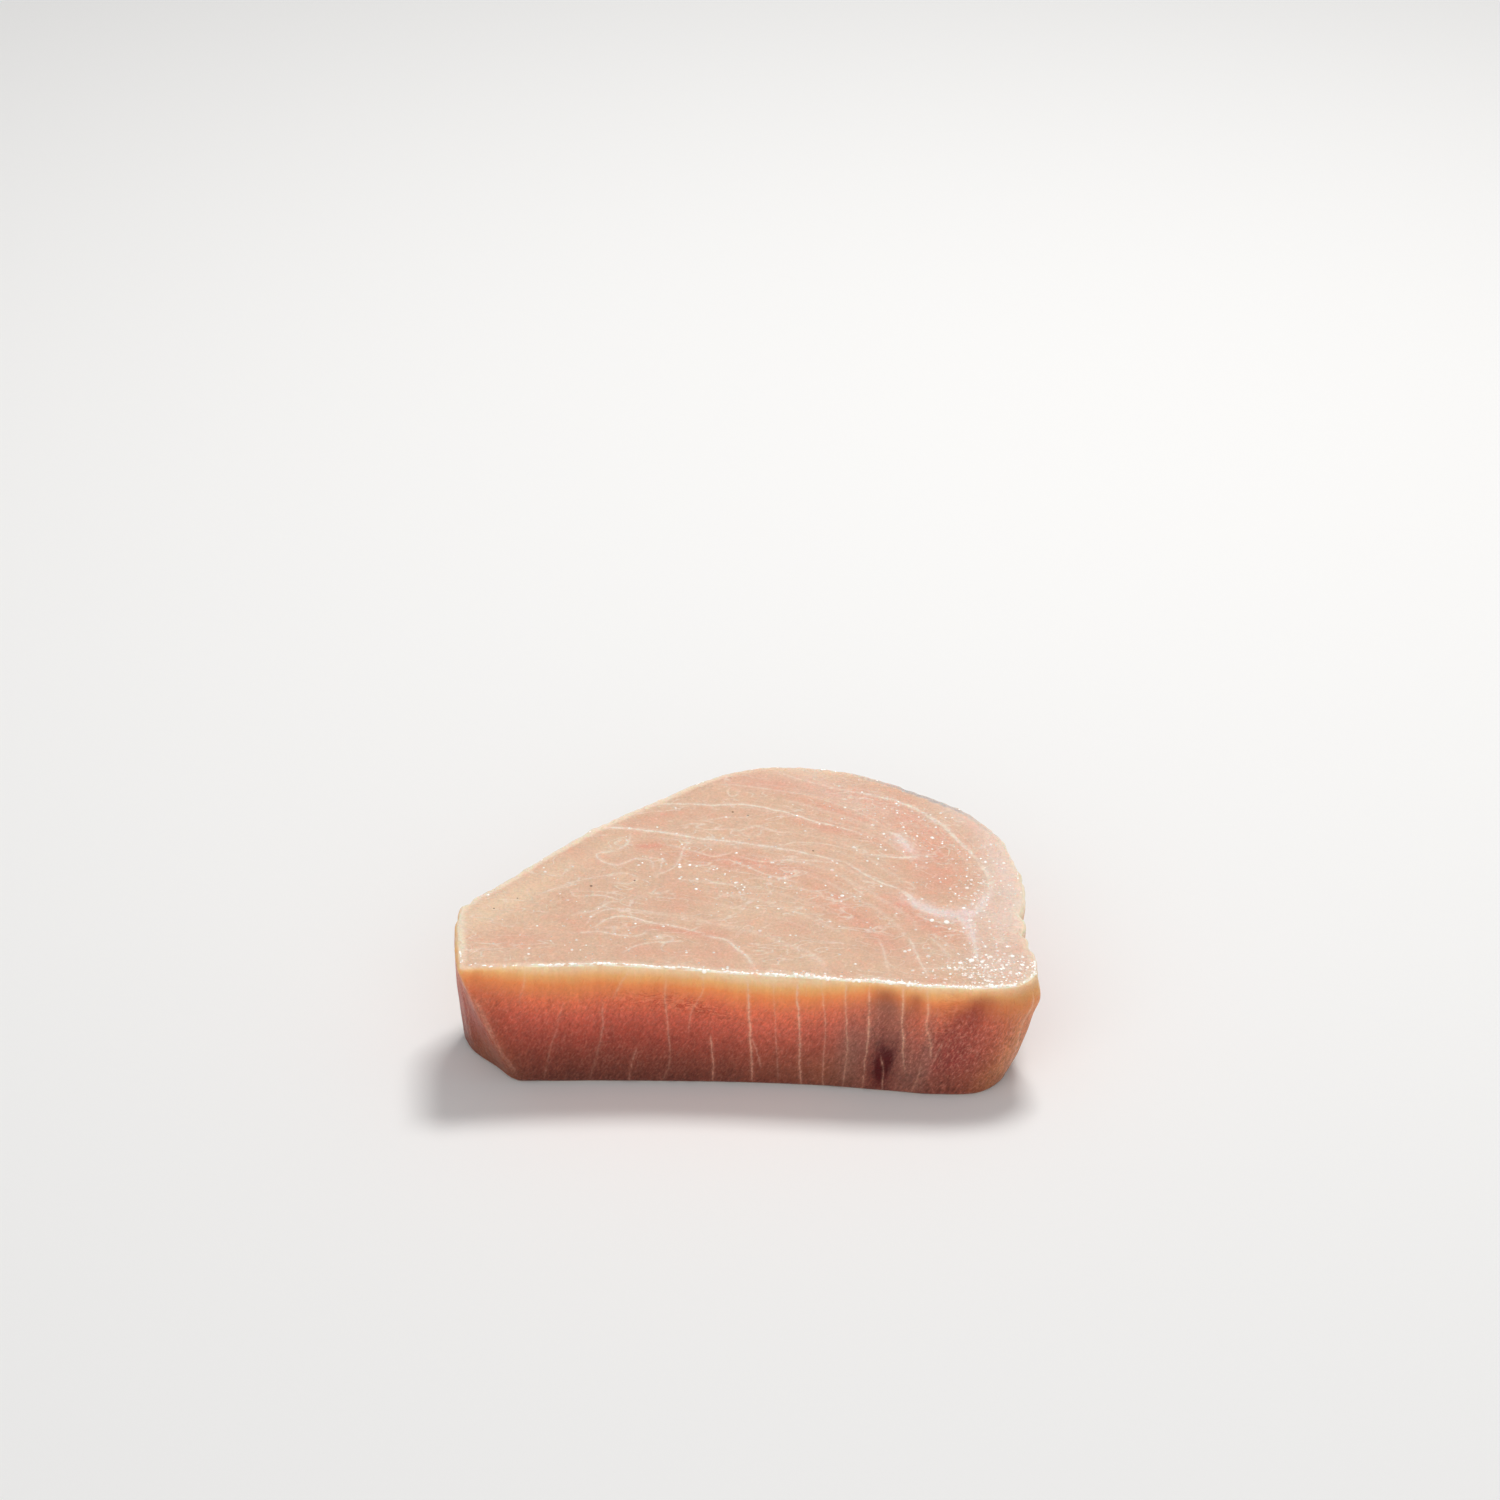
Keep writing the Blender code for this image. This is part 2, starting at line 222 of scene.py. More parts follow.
# On the split face a line runs through points of x and height. These go from the tip rightwards.
SPLIT_SEPTA = (
    (0.28, 0.26, ((-41.8, 25.2), (-42.2, 21.8), (-43, 18.5))),
    (0.24, 0.26, ((-34.9, 18.1), (-36.1, 12.1), (-37.8, 6), (-38.8, 0))),
    (0.33, 0.26, ((-27.5, 18), (-27.4, 12.5), (-28.2, 7.6), (-30, 0))),
    (0.32, 0.26, ((-22.4, 25), (-23.7, 22.1), (-25.3, 19))),
    (0.36, 0.24, ((-20.8, 8.4), (-21.8, 4.6), (-22.4, 0))),
    (0.4, 0.24, ((-15.6, 25), (-15.5, 18), (-15.1, 12), (-15.2, 2.6), (-16.6, 0))),
    (0.3, 0.24, ((-8.6, 25.2), (-8.6, 20.6), (-10.8, 15.4), (-11, 11.6))),
    (0.85, 0.22, ((-6.9, 10.4), (-6.5, 5.3), (-6.4, 0))),
    (0.9, 0.24, ((-0.3, 25.4), (0.1, 18.5), (0.5, 10), (1.1, 0))),
    (0.45, 0.2, ((0.9, 10.4), (1.6, 7.9), (2.6, 4.4))),
    (0.35, 0.18, ((4.6, 24.6), (4.9, 18), (5.6, 6.7), (5.9, 0))),
    (0.95, 0.24, ((9.1, 25.4), (9.3, 18.9), (9.8, 12), (9.9, 5), (10.4, 0))),
    (0.5, 0.18, ((13.7, 24), (14.6, 13.2), (14.4, 2.4), (14.7, 0))),
    (0.6, 0.22, ((18.2, 24.8), (18.3, 18), (18.8, 6.5), (18.2, 0))),
    (0.8, 0.22, ((22.6, 24.6), (22.8, 14.1), (22.2, 7), (21.8, 0))),
    (0.6, 0.18, ((25.2, 8), (25.8, 4.9), (25.5, 0))),
    (0.75, 0.24, ((29, 24.6), (29, 17.7), (29.2, 12), (29.6, 5.4))),
    (0.6, 0.28, ((33.2, 24.4), (33.9, 18.6), (33.5, 15.6), (34.3, 12), (34.8, 7.6))),
    (0.4, 0.24, ((33, 6.6), (32, 3), (31, 0))),
    (0.45, 0.2, ((36.8, 12.2), (35.2, 8))),
)
# The arris at the tip carries a broad pale streak.
ARRIS_STREAK = (0.4, 0.7, ((-51.2, 19.6), (-49.7, 15.5), (-48, 10.6), (-46, 6), (-43.4, 1.6)))

# The rest of the wall has septa at random, which lean and bend a little.
WALL_SEPTA_COUNT = 46
WALL_SEPTA_SPAN = (SPLIT_FACE_END, 27.8)
# A line is kept in one of the layers and shows as far out as its reach. The points of the surface
# within a margin round it are measured against so many spots for each point it runs through.
SEPTA_LAYERS = 6
SEPTA_REACH = 1.9
SEPTA_MARGIN = 4.0
SPOTS_PER_POINT = 14

# ----------------------------------------
# Soft patches. On a cut face: x, y, half length, half width, heading in degrees and strength.

PINK_PATCHES = (
    (21.5, -17, 16, 3.8, -55, 0.58),
    (31, 24.5, 12, 3.4, -44, 0.48),
    (38, 12, 8, 4.6, -64, 0.46),
    (38, 0, 8, 5.6, -75, 0.62),
    (31, -13, 8, 3.2, -50, 0.5),
    (37.5, -20, 6, 3, -40, 0.42),
    (-1, 3, 14, 3, -14, 0.62),
    (-19, 8.6, 3.6, 0.8, 0, 0.6),
    (10, 33, 17, 2.8, -14, 0.42),
    (19, 24, 14, 2, -26, 0.4),
    (-14, -22.2, 8, 1.2, -8, 0.6),
    (-15, -30, 7, 2.4, 0, 0.35),
    (-44, -27, 8, 4, 10, 0.45),
    (-12, -10, 6, 4, 10, 0.3),
    (17, 17, 16, 1.6, -24, 0.35),
    (-16, 20, 6, 2, 30, 0.4),
)
CREAM_PATCHES = (
    (-47, -14, 14, 4, 42, 0.9),
    (-30, 4, 16, 2.4, 44, 0.5),
    (-50, -32, 5, 4, 0, 0.5),
    (8, -33, 34, 3.4, -4, 0.3),
    (4, -14, 9, 7, 0, 0.25),
    (14, 39, 12, 1.6, -6, 0.6),
    (-44, -24, 9, 8, 20, 0.45),
)
ROSY_PATCHES = (
    (51.5, 2, 15, 4.2, 100, 1.0),
    (50, -16, 9, 6, 90, 0.85),
    (49, -32, 7, 6, 90, 0.6),
    (45, 22, 12, 2.6, -54, 0.6),
    (38, -29, 9, 4, 10, 0.15),
    (24, 29, 18, 5, -34, 0.4),
    (4, 34, 10, 4, -6, 0.22),
)
FORK_PATCHES = (
    (34.8, -11.4, 6, 1.7, -36, 1.0),
    (41, -13.6, 4.4, 1.9, 10, 1.0),
    (43, -18.6, 6, 1.4, -82, 0.9),
    (46, -9, 4.6, 1.6, 68, 0.8),
    (32.4, 11.4, 5, 1.5, -60, 0.8),
)
# On the split face: x, height, half length, half width, heading and strength.
BRUISE_PATCHES = (
    (25.1, 5, 3.6, 1.6, 84, 0.74),
    (26.9, 7.8, 3.4, 0.8, 78, 0.42),
    (25.7, 7.4, 5.8, 3.4, 80, 0.5),
    (25.8, 16, 7, 1.6, 88, 0.16),
)
GREY_PATCHES = (
    (26.2, 15.6, 8, 3.4, 90, 1.0),
    (30.6, 5, 7, 4, 90, 0.6),
    (19.6, 9, 8, 3, 90, 0.7),
    (34, 11, 7, 1, 84, 0.7),
    (30, 11, 22, 12, 0, 0.4),
    (-2, 3, 30, 4, 0, 0.1),
)
RED_PATCHES = (
    (40, 15, 10, 2.6, 56, 1.0),
    (37, 8.6, 4.6, 3.2, 0, 0.85),
    (31.4, 19.8, 4, 1.4, 84, 0.66),
    (25.8, 20.8, 3.6, 2.4, 88, 0.62),
    (46, 14, 8, 4, 70, 0.45),
    (-28, 13, 22, 5, 0, 0.26),
    (38.5, 13, 6, 5, 0, 0.3),
    (40, 1, 7, 5, 0, 0.3),
    (-52.5, 12, 9, 7, 90, 0.85),
    (25.4, 6.6, 6, 3.8, 82, 0.85),
)
CRACKLE_PATCHES = (
    (-17, 18.4, 8, 1.7, -4, 1.0),
    (-8, 16.2, 6, 1.4, -14, 0.8),
    (37, 17, 6, 3, 60, 0.5),
)
GOLDEN_PATCHES = (
    (50.5, 8, 16, 5, 80, 1.0),
    (-51, 11, 17, 5, 102, 0.62),
    (-34, 21, 14, 3, 0, 0.35),
    (49, 1, 8, 5, 0, 0.6),
    (14, 4, 12, 5, 0, 0.2),
)
# Where the wall's colours start higher up, or lower if the rise is below zero: x, half width, rise.
COLOUR_LIFTS = ((-53, 10, 1.6), (-38, 8, -0.3), (5, 8, -0.6), (24, 8, 1.1), (42, 6, 0.5))
# On the upper face: x, y and radius.
DARK_SPECKS = (
    (-29.8, -7.6, 0.26), (-21.4, -4.7, 0.2), (-1.8, 22.6, 0.22), (1.2, 21.1, 0.2), (13.8, 8, 0.2),
    (-48.3, -16.1, 0.16), (-43.9, -12.4, 0.16),
)


def curve(points, at, closed=False):
    """Points on a smooth curve through the given ones. `at` counts points with a fraction.

    Each span is a cubic that leaves and arrives along the weighted mean of the chords beside it.
    """
    points = np.asarray(points, float)
    if closed:
        before, after = np.roll(points, 1, axis=0), np.roll(points, -1, axis=0)
    else:
        before = np.vstack([2.0 * points[0] - points[1], points[:-1]])
        after = np.vstack([points[1:], 2.0 * points[-1] - points[-2]])
    reach_back = np.linalg.norm(points - before, axis=1)[:, None]
    reach_on = np.linalg.norm(after - points, axis=1)[:, None]
    slope_back, slope_on = (points - before) / reach_back, (after - points) / reach_on
    tangent = (slope_on * reach_back + slope_back * reach_on) / (reach_back + reach_on)
    span = np.floor(at).astype(int)
    if closed:
        span %= len(points)
    else:
        span = np.clip(span, 0, len(points) - 2)
    following = (span + 1) % len(points)
    t = (at - np.floor(at))[:, None] if closed else (at - span)[:, None]
    reach = reach_on[span]
    return (
        points[span] * (2 * t**3 - 3 * t**2 + 1)
        + tangent[span] * reach * (t**3 - 2 * t**2 + t)
        + points[following] * (3 * t**2 - 2 * t**3)
        + tangent[following] * reach * (t**3 - t**2)
    )


def arc_lengths(loop):
    """The distance along a closed loop at which each of its points lies, and its whole length."""
    steps = np.linalg.norm(np.roll(loop, -1, axis=0) - loop, axis=1)
    return np.concatenate([[0.0], np.cumsum(steps)[:-1]]), steps.sum()


def even_positions(points, count):
    """Positions that divide the closed curve through the points into equal lengths."""
    fine = np.linspace(0.0, len(points), MEASURING_STEPS, endpoint=False)
    along, whole = arc_lengths(curve(points, fine, closed=True))
    wanted = np.arange(count) / count * whole
    return np.interp(wanted, np.append(along, whole), np.append(fine, float(len(points))))


def smooth_step(value, start=0.0, length=1.0):
    """0 up to the start, 1 from the start plus the length, and 3t^2 - 2t^3 in between."""
    share = np.clip((value - start) / length, 0.0, 1.0)
    return share * share * (3.0 - 2.0 * share)


def between(value, start, rise, end, fall):
    """1 between a start and an end: a smooth step up after the one and down before the other."""
    return smooth_step(value, start, rise) * smooth_step((end - value) / fall)


def bell(value, middle, half_width):
    """1 at the middle, falling off as e to the minus squared distance over the half width."""
    return np.exp(-(((value - middle) / half_width) ** 2))


def drawn_in(outline, scale):
    """An outline scaled towards the hub, and how far in that brings each of its points."""
    return HUB + (outline - HUB) * scale, (1.0 - scale) * np.linalg.norm(outline - HUB, axis=1)


def waves(points, shortest, longest, seed, count=28):
    """A smooth uneven field, from about -1 to 1: the mean of plane waves in random directions.

    Each wave is the sine of the place along its heading over its wavelength, plus a phase.
    """
    draw = np.random.default_rng(seed)
    heading = draw.normal(size=(count, 3))
    heading /= np.linalg.norm(heading, axis=1)[:, None]
    length = shortest * (longest / shortest) ** draw.random(count)
    phase = draw.random(count) * 2.0 * math.pi
    total = np.zeros(points.shape[:-1])
    for way, wavelength, start in zip(heading, length, phase):
        total += np.sin(points @ way * (2.0 * math.pi / wavelength) + start)
    return total / math.sqrt(count / 2.0) / 1.6


# ----------------------------------------
# The steak's surface.


class Wall:
    """The outlines of the steak at any share of its height, and the distances along its rim."""

    def __init__(self):
        stations = np.array(list(STATIONS.values()))
        self.at = even_positions(stations[:, 0:2], AROUND)
        self.rim = curve(stations[:, 0:2], self.at, closed=True)
        self.foot = curve(stations[:, 2:4], self.at, closed=True)
        bellies = np.append(stations[:, 4], stations[0, 4])
        self.belly = np.interp(self.at, np.arange(len(bellies)), bellies)
        heading = np.roll(self.rim, -1, axis=0) - np.roll(self.rim, 1, axis=0)
        normals = np.stack([heading[:, 1], -heading[:, 0]], axis=1)
        self.normals = normals / np.linalg.norm(normals, axis=1)[:, None]
        self.eased = sum(weight * np.roll(self.normals, shift, axis=0) for shift, weight in EASING)
        self.along, self.round = arc_lengths(self.rim)

    def distance_from(self, station):
        """How far each point of the rim is from a station, along the rim."""
        there = np.interp(station, self.at, self.along)
        away = np.abs(self.along - there)
        return np.minimum(away, self.round - away)

    def creased(self, share):
        """How far the creases and the lip move each point outwards at this share of the height."""
        moved = np.zeros(AROUND)
        for station, depth, half_width, start, end in CREASES:
            fade = between(share, start, CREASE_FADE, end, CREASE_FADE)
            moved -= depth * fade * bell(self.distance_from(station), 0.0, half_width)
        station, height, half_width, level, half_level = LIP
        hang = bell(share, level, half_level)
        return moved + height * hang * bell(self.distance_from(station), 0.0, half_width)

    def outline(self, share, inset=0.0):
        """The outline at a share of the height, drawn in by `inset` for a rounded edge.

        It is drawn in along normals averaged with their neighbours', so that a sharp corner
        doesn't cross itself.
        """
        plan = self.foot + (self.rim - self.foot) * share
        out = self.belly * 4.0 * share * (1.0 - share) + self.creased(share)
        return plan + self.normals * out[:, None] - self.eased * inset


def thickness(plan):
    """The height of the upper cut face: a wedge with the knife's waves on it."""
    share = (plan[..., 0] + HALF_LENGTH) / (2.0 * HALF_LENGTH)
    height = THICKNESS_AT_TIP + (THICKNESS_AT_TORN_END - THICKNESS_AT_TIP) * share
    for amplitude, wavelength, heading in KNIFE_WAVES:
        turn = math.radians(heading)
        way = plan[..., 0] * math.cos(turn) + plan[..., 1] * math.sin(turn)
        height = height + amplitude * np.sin(2.0 * math.pi * way / wavelength)
    return height


class Surface:
    """The steak as a grid of places, with what each place is: how high, how far in, which side.

    rows x columns x 3 in `places`, and per grid point: `level` is the share of the wall's height,
    `below` the depth under the rim, `inward` the distance in from the rim on a cut face, and
    `upper` and `lower` rise from 0 on the wall to 1 on the upper and lower cut faces.
    """

    def __init__(self):
        self.wall = Wall()
        self.rows = []
        top = thickness(self.wall.rim)
        foot_edge = self.wall.outline(0.0, FOOT_RADIUS)
        for scale in LOWER_RINGS:
            plan, inward = drawn_in(foot_edge, scale)
            self.add_row(plan, np.zeros(AROUND), 0.0, top, inward, 0.0, 1.0)
        for step in range(FOOT_STEPS):
            turn = 0.5 * math.pi * step / FOOT_STEPS
            plan = self.wall.outline(0.0, FOOT_RADIUS * (1.0 - math.sin(turn)))
            height = np.full(AROUND, FOOT_RADIUS * (1.0 - math.cos(turn)))
            self.add_row(plan, height, 0.0, top - height, 0.0, 0.0, 1.0 - math.sin(turn))
        for step in range(WALL_STEPS + 1):
            share = step / WALL_STEPS
            height = FOOT_RADIUS + (top - RIM_RADIUS - FOOT_RADIUS) * share
            self.add_row(self.wall.outline(share), height, share, top - height, 0.0, 0.0, 0.0)
        for step in range(1, RIM_STEPS + 1):
            turn = 0.5 * math.pi * step / RIM_STEPS
            plan = self.wall.outline(1.0, RIM_RADIUS * (1.0 - math.cos(turn)))
            height = top - RIM_RADIUS * (1.0 - math.sin(turn))
            self.add_row(plan, height, 1.0, top - height, 0.0, math.sin(turn) ** 2, 0.0)
        edge = self.rows[-1][0][:, 0:2]
        for ring in range(1, UPPER_RINGS + 1):
            plan, inward = drawn_in(edge, 1.0 - ring / (UPPER_RINGS + 1))
            self.add_row(plan, thickness(plan), 1.0, 0.0, inward, 1.0, 0.0)
        self.places = np.array([row[0] for row in self.rows])
        facts = np.array([row[1] for row in self.rows])
        self.level, self.below, self.inward, self.upper, self.lower = np.moveaxis(facts, 2, 0)
        self.along = np.broadcast_to(self.wall.along, self.level.shape)
        self.at = np.broadcast_to(self.wall.at, self.level.shape)
        middle = (self.places.min(axis=(0, 1)) + self.places.max(axis=(0, 1))) / 2.0
        self.middle = np.array([middle[0], middle[1], 0.0])

    def add_row(self, plan, height, level, below, inward, upper, lower):
        """Adds an outline at a height, with what its points are."""
        facts = [np.broadcast_to(fact, AROUND) for fact in (level, below, inward, upper, lower)]
        self.rows.append((np.column_stack([plan, height]), np.stack(facts, axis=1)))


def outward(places):
    """Unit vectors out of the surface: the cross product of the steps round it and up it."""
    round_step = np.roll(places, -1, axis=1) - np.roll(places, 1, axis=1)
    out = np.cross(round_step, np.gradient(places, axis=0))
    return out / np.maximum(np.linalg.norm(out, axis=2), 1e-9)[..., None]


def uneven(points, fields):
    """The sum of uneven fields, each times its height."""
    return sum(height * waves(points, *field) for height, *field in fields)


def roughened(surface):
    """Moves the surface along its normals: soft swells on the cut face, folds on the wall.

    The move is a sum of uneven fields, each with its own size and height, and it dies out towards
    the lower face, so that the steak still lies flat.
    """
    places = surface.places
    drawn_out = places * np.array([1.0, 1.0, 0.35])
    wall = 1.0 - surface.upper - surface.lower
    torn = smooth_step(places[..., 0], 44.0, 9.0) * smooth_step(places[..., 1], -36.0, 8.0)
    swell, folds = uneven(places, SWELLS), uneven(drawn_out, FOLDS)
    ragged = uneven(places, RAGGED_RIM) * bell(surface.below, 0.5, 0.9) * (surface.inward < 1.0)
    x, y, _ = np.moveaxis(places - surface.middle, 2, 0)
    fork = soft_patches(FORK_PATCHES, x, y) * surface.upper
    move = swell * surface.upper + folds * wall * (1.0 + 1.6 * torn) + ragged - FORK_DEPTH * fork
    move = move * smooth_step(places[..., 2] / 4.0)
    return places + outward(places) * move[..., None]


# ----------------------------------------
# Marks on the surface, kept as attributes of its points.


def soft_patches(patches, across, up):
    """The sum of bell-shaped patches, at most 1: each falls off as an ellipse's squared radius."""
    total = np.zeros(across.shape)
    for x, y, half_length, half_width, heading, strength in patches:
        turn = math.radians(heading)
        along = (across - x) * math.cos(turn) + (up - y) * math.sin(turn)
        beside = (up - y) * math.cos(turn) - (across - x) * math.sin(turn)
        total += strength * np.exp(-((along / half_length) ** 2) - (beside / half_width) ** 2)
    return np.clip(total, 0.0, 1.0)


class Septa:
    """Lines kept as fields that a shader can draw sharply at any size.

    Each layer holds, at every point, the signed distance to its nearest line, that line's strength
    and its half width. The strength dies out away from a line, so where the sign changes between
    two lines nothing shows. Lines that lie near each other go into different layers.
    """

    def __init__(self, shape):
        self.distance = np.full((SEPTA_LAYERS, *shape), SEPTA_REACH)
        self.strength = np.zeros((SEPTA_LAYERS, *shape))
        self.half_width = np.full((SEPTA_LAYERS, *shape), 0.2)
        self.spots = [[] for _ in range(SEPTA_LAYERS)]

    def draw(self, across, up, where, line, kind):
        """Adds a line to the points in `where`, whose plane coordinates are `across` and `up`.

        Each point measures its distance to the nearest spot of the line, across the line there.
        The strength falls towards the line's ends and its reach.
        """
        strength, half_widths, points = line
        half_widths = np.atleast_1d(half_widths)
        spots = curve(points, np.linspace(0.0, len(points) - 1.0, SPOTS_PER_POINT * len(points)))
        stops = np.linspace(0.0, 1.0, len(half_widths))
        half_width = np.interp(np.linspace(0.0, 1.0, len(spots)), stops, half_widths)
        tangents = np.gradient(spots, axis=0)
        tangents /= np.linalg.norm(tangents, axis=1)[:, None]
        middle, reach = spots.mean(axis=0), np.ptp(spots, axis=0) / 2.0 + SEPTA_MARGIN
        near = where & (np.abs(across - middle[0]) < reach[0]) & (np.abs(up - middle[1]) < reach[1])
        here = np.stack([across[near], up[near]], axis=1)
        if not len(here):
            return
        gaps = here[:, None, :] - spots[None, :, :]
        nearest = (gaps**2).sum(axis=2).argmin(axis=1)
        gap, tangent = gaps[np.arange(len(here)), nearest], tangents[nearest]
        signed = gap[:, 0] * tangent[:, 1] - gap[:, 1] * tangent[:, 0]
        overshoot = np.abs(gap[:, 0] * tangent[:, 0] + gap[:, 1] * tangent[:, 1])
        apart = np.hypot(signed, overshoot)
        taper = np.minimum(nearest, len(spots) - 1 - nearest) / (0.14 * len(spots))
        fade = smooth_step((SEPTA_REACH - apart) / 0.6) * smooth_step(1.0 - overshoot / 0.8)
        fade *= 0.35 + 0.65 * smooth_step(taper)
        layer = self.freest_layer(spots, kind)
        index = (layer, *np.nonzero(near))
        closer = apart < np.abs(self.distance[index])
        index = tuple(part[closer] if isinstance(part, np.ndarray) else part for part in index)
        self.distance[index] = signed[closer]
        self.strength[index] = strength * fade[closer]
        self.half_width[index] = half_width[nearest[closer]]

    def freest_layer(self, spots, kind):
        """The layer whose lines of this kind are farthest from these spots, which then joins it."""
        room = []
        for taken in self.spots:
            others = [other for sort, other in taken if sort == kind]
            gaps = [np.linalg.norm(spots[:, None] - other[None], axis=2).min() for other in others]
            room.append(min(gaps, default=99.0))
        layer = int(np.argmax(room))
        self.spots[layer].append((kind, spots))
        return layer

    def marks(self):
        """Each layer as an attribute."""
        layers = zip(self.distance, self.strength, self.half_width)
        return {f"septa_{layer}": parts for layer, parts in enumerate(layers)}


def wall_septa(first, last):
    """Septa at random between two distances along the rim: each leans, bends and stops anywhere."""
    draw = np.random.default_rng(21)
    lines = []
    for index in range(WALL_SEPTA_COUNT):
        start = first + (index + draw.uniform(0.1, 0.9)) / WALL_SEPTA_COUNT * (last - first)
        lean, bend = draw.normal(0.0, 1.0), draw.normal(0.0, 0.5)
        low, high = draw.uniform(-1.0, 6.0), draw.uniform(14.0, 25.0)
        along = start + lean * np.linspace(0.0, 1.0, 4) + np.array([0.0, 1.0, 0.4, 0.8]) * bend
        points = np.column_stack([along, np.linspace(high, low, 4)])
        lines.append((draw.uniform(0.2, 0.7), draw.uniform(0.16, 0.26), points))
    return lines


def faint_septa():
    """Faint septa between the guides: each lies a random share of the way from one to the next."""
    draw = np.random.default_rng(17)
    lines = []
    for outer, inner in zip(GUIDES[:-1], GUIDES[1:]):
        for index in range(FAINT_BETWEEN):
            share = (index + draw.uniform(0.2, 0.8)) / FAINT_BETWEEN
            start, end = draw.uniform(0.0, 2.5), draw.uniform(3.5, 6.0)
            shift = draw.normal(0.0, 0.5, 2)
            at = np.linspace(start, end, 7)
            points = curve(outer, at) * (1.0 - share) + curve(inner, at) * share + shift
            lines.append((draw.uniform(0.12, 0.30), draw.uniform(0.25, 0.6), points))
    return lines


def marked(surface):
    """Every attribute of the surface, by name: three numbers for each point of the grid.

    The masks are 1 inside their stretch of the wall and fall smoothly to 0 outside it, and the
    patches are sums of soft ellipses.
    """
    x, y, z = np.moveaxis(surface.places - surface.middle, 2, 0)
    at = surface.at
    split = (at < SPLIT_FACE_END) & (surface.upper + surface.lower < 0.6)
    upper, lower = surface.upper > 0.3, surface.lower > 0.5
    septa = Septa(x.shape)
    for line in (*CUT_SEPTA.values(), *faint_septa()):
        septa.draw(x, y, upper | lower, line, "cut")
    for line in (*SPLIT_SEPTA, ARRIS_STREAK):
        septa.draw(x, z, split | (at > TIP_FACET_START) & ~upper & ~lower, line, "split")
    for line in wall_septa(*np.interp(WALL_SEPTA_SPAN, surface.wall.at, surface.wall.along)):
        septa.draw(surface.along, z, ~split & ~upper & ~lower, line, "wall")
    cut = np.maximum(surface.upper, surface.lower)
    wall = 1.0 - cut
    round_corner = smooth_step(x, 47.0, 3.0) * smooth_step(-y, 16.0, 9.0)
    tip = smooth_step(-x, 46.0, 4.0) * smooth_step(-y, 6.0, 12.0)
    on_split = np.maximum.reduce([smooth_step(-y, 28.0, 6.0), round_corner, tip]) * wall
    front_rim = smooth_step(-y, 31.0, 3.0) * smooth_step(x, -43.0, 4.0) * (surface.inward < 0.5)
    lift = sum(rise * bell(x, middle, half_width) for middle, half_width, rise in COLOUR_LIFTS)

    def both(on_cut, on_wall):
        """Patches on the cut faces, and others on the split face."""
        return soft_patches(on_cut, x, y) * cut + soft_patches(on_wall, x, z) * on_split

    return {
        "tints": (
            both(PINK_PATCHES, RED_PATCHES),
            both(CREAM_PATCHES, GOLDEN_PATCHES),
            both(ROSY_PATCHES, GREY_PATCHES),
        ),
        "zone": (cut, surface.below + lift * on_split, surface.inward),
        "spots": (
            both(FORK_PATCHES, BRUISE_PATCHES),
            soft_patches(CRACKLE_PATCHES, x, z) * on_split,
            surface.upper,
        ),
        "sides": (between(at, *SKIN_SIDE), between(at, *FAT_BAND), bell(at, *SILVER_SKIN_SPAN)),
        "edges": (front_rim, between(at, *TORN_END), wall),
        **septa.marks(),
    }


def ring_faces(rows, columns):
    """The faces of rings of points, one above the other, with a fan to a pole at each end.

    The four-cornered face at a row and column takes its own point, the next column's, and the same
    two one row up. The poles are the two points after the rings: first below them, then above.
    """
    index = np.arange(rows * columns).reshape(rows, columns)
    turned = np.roll(index, -1, axis=1)
    quads = np.stack([index[:-1], turned[:-1], turned[1:], index[1:]], axis=-1).reshape(-1, 4)
    below = np.column_stack([turned[0], index[0], np.full(columns, index.size)])
    above = np.column_stack([index[-1], turned[-1], np.full(columns, index.size + 1)])
    return quads, np.vstack([below, above])


def closed_mesh(name, spots, quads, fans, marks):
    """A smooth mesh from places in millimetres, the corners of its faces and the points' marks."""
    corners = np.concatenate([quads.ravel(), fans.ravel()]).astype(np.int32)
    sizes = np.concatenate([np.full(len(quads), 4), np.full(len(fans), 3)])
    starts = np.concatenate([[0], np.cumsum(sizes)[:-1]]).astype(np.int32)
    mesh = bpy.data.meshes.new(name)
    mesh.vertices.add(len(spots))
    mesh.vertices.foreach_set("co", (spots * METRES).astype(np.float32).ravel())
    mesh.loops.add(len(corners))
    mesh.loops.foreach_set("vertex_index", corners)
    mesh.polygons.add(len(sizes))
    mesh.polygons.foreach_set("loop_start", starts)
    mesh.update(calc_edges=True)
    for mark, values in marks.items():
        attribute = mesh.attributes.new(mark, "FLOAT_VECTOR", "POINT")
        attribute.data.foreach_set("vector", values.astype(np.float32).ravel())
    mesh.shade_smooth()
    mesh.validate()
    return mesh


def steak_mesh(places, lower_pole, upper_pole, marks):
    """The steak's grid as a mesh. A pole takes the marks of a point beside it."""
    spots = np.vstack([places.reshape(-1, 3), lower_pole, upper_pole])
    values = {mark: np.stack(parts, axis=-1).reshape(-1, 3) for mark, parts in marks.items()}
    values = {mark: np.vstack([value, value[0], value[-1]]) for mark, value in values.items()}
    return closed_mesh("steak_surface", spots, *ring_faces(*places.shape[:2]), values)


def add_piece(name, mesh, material):
    piece = bpy.data.objects.new(name, mesh)
    mesh.materials.append(material)
    bpy.context.scene.collection.objects.link(piece)
    return piece


# ----------------------------------------
# Shaders.


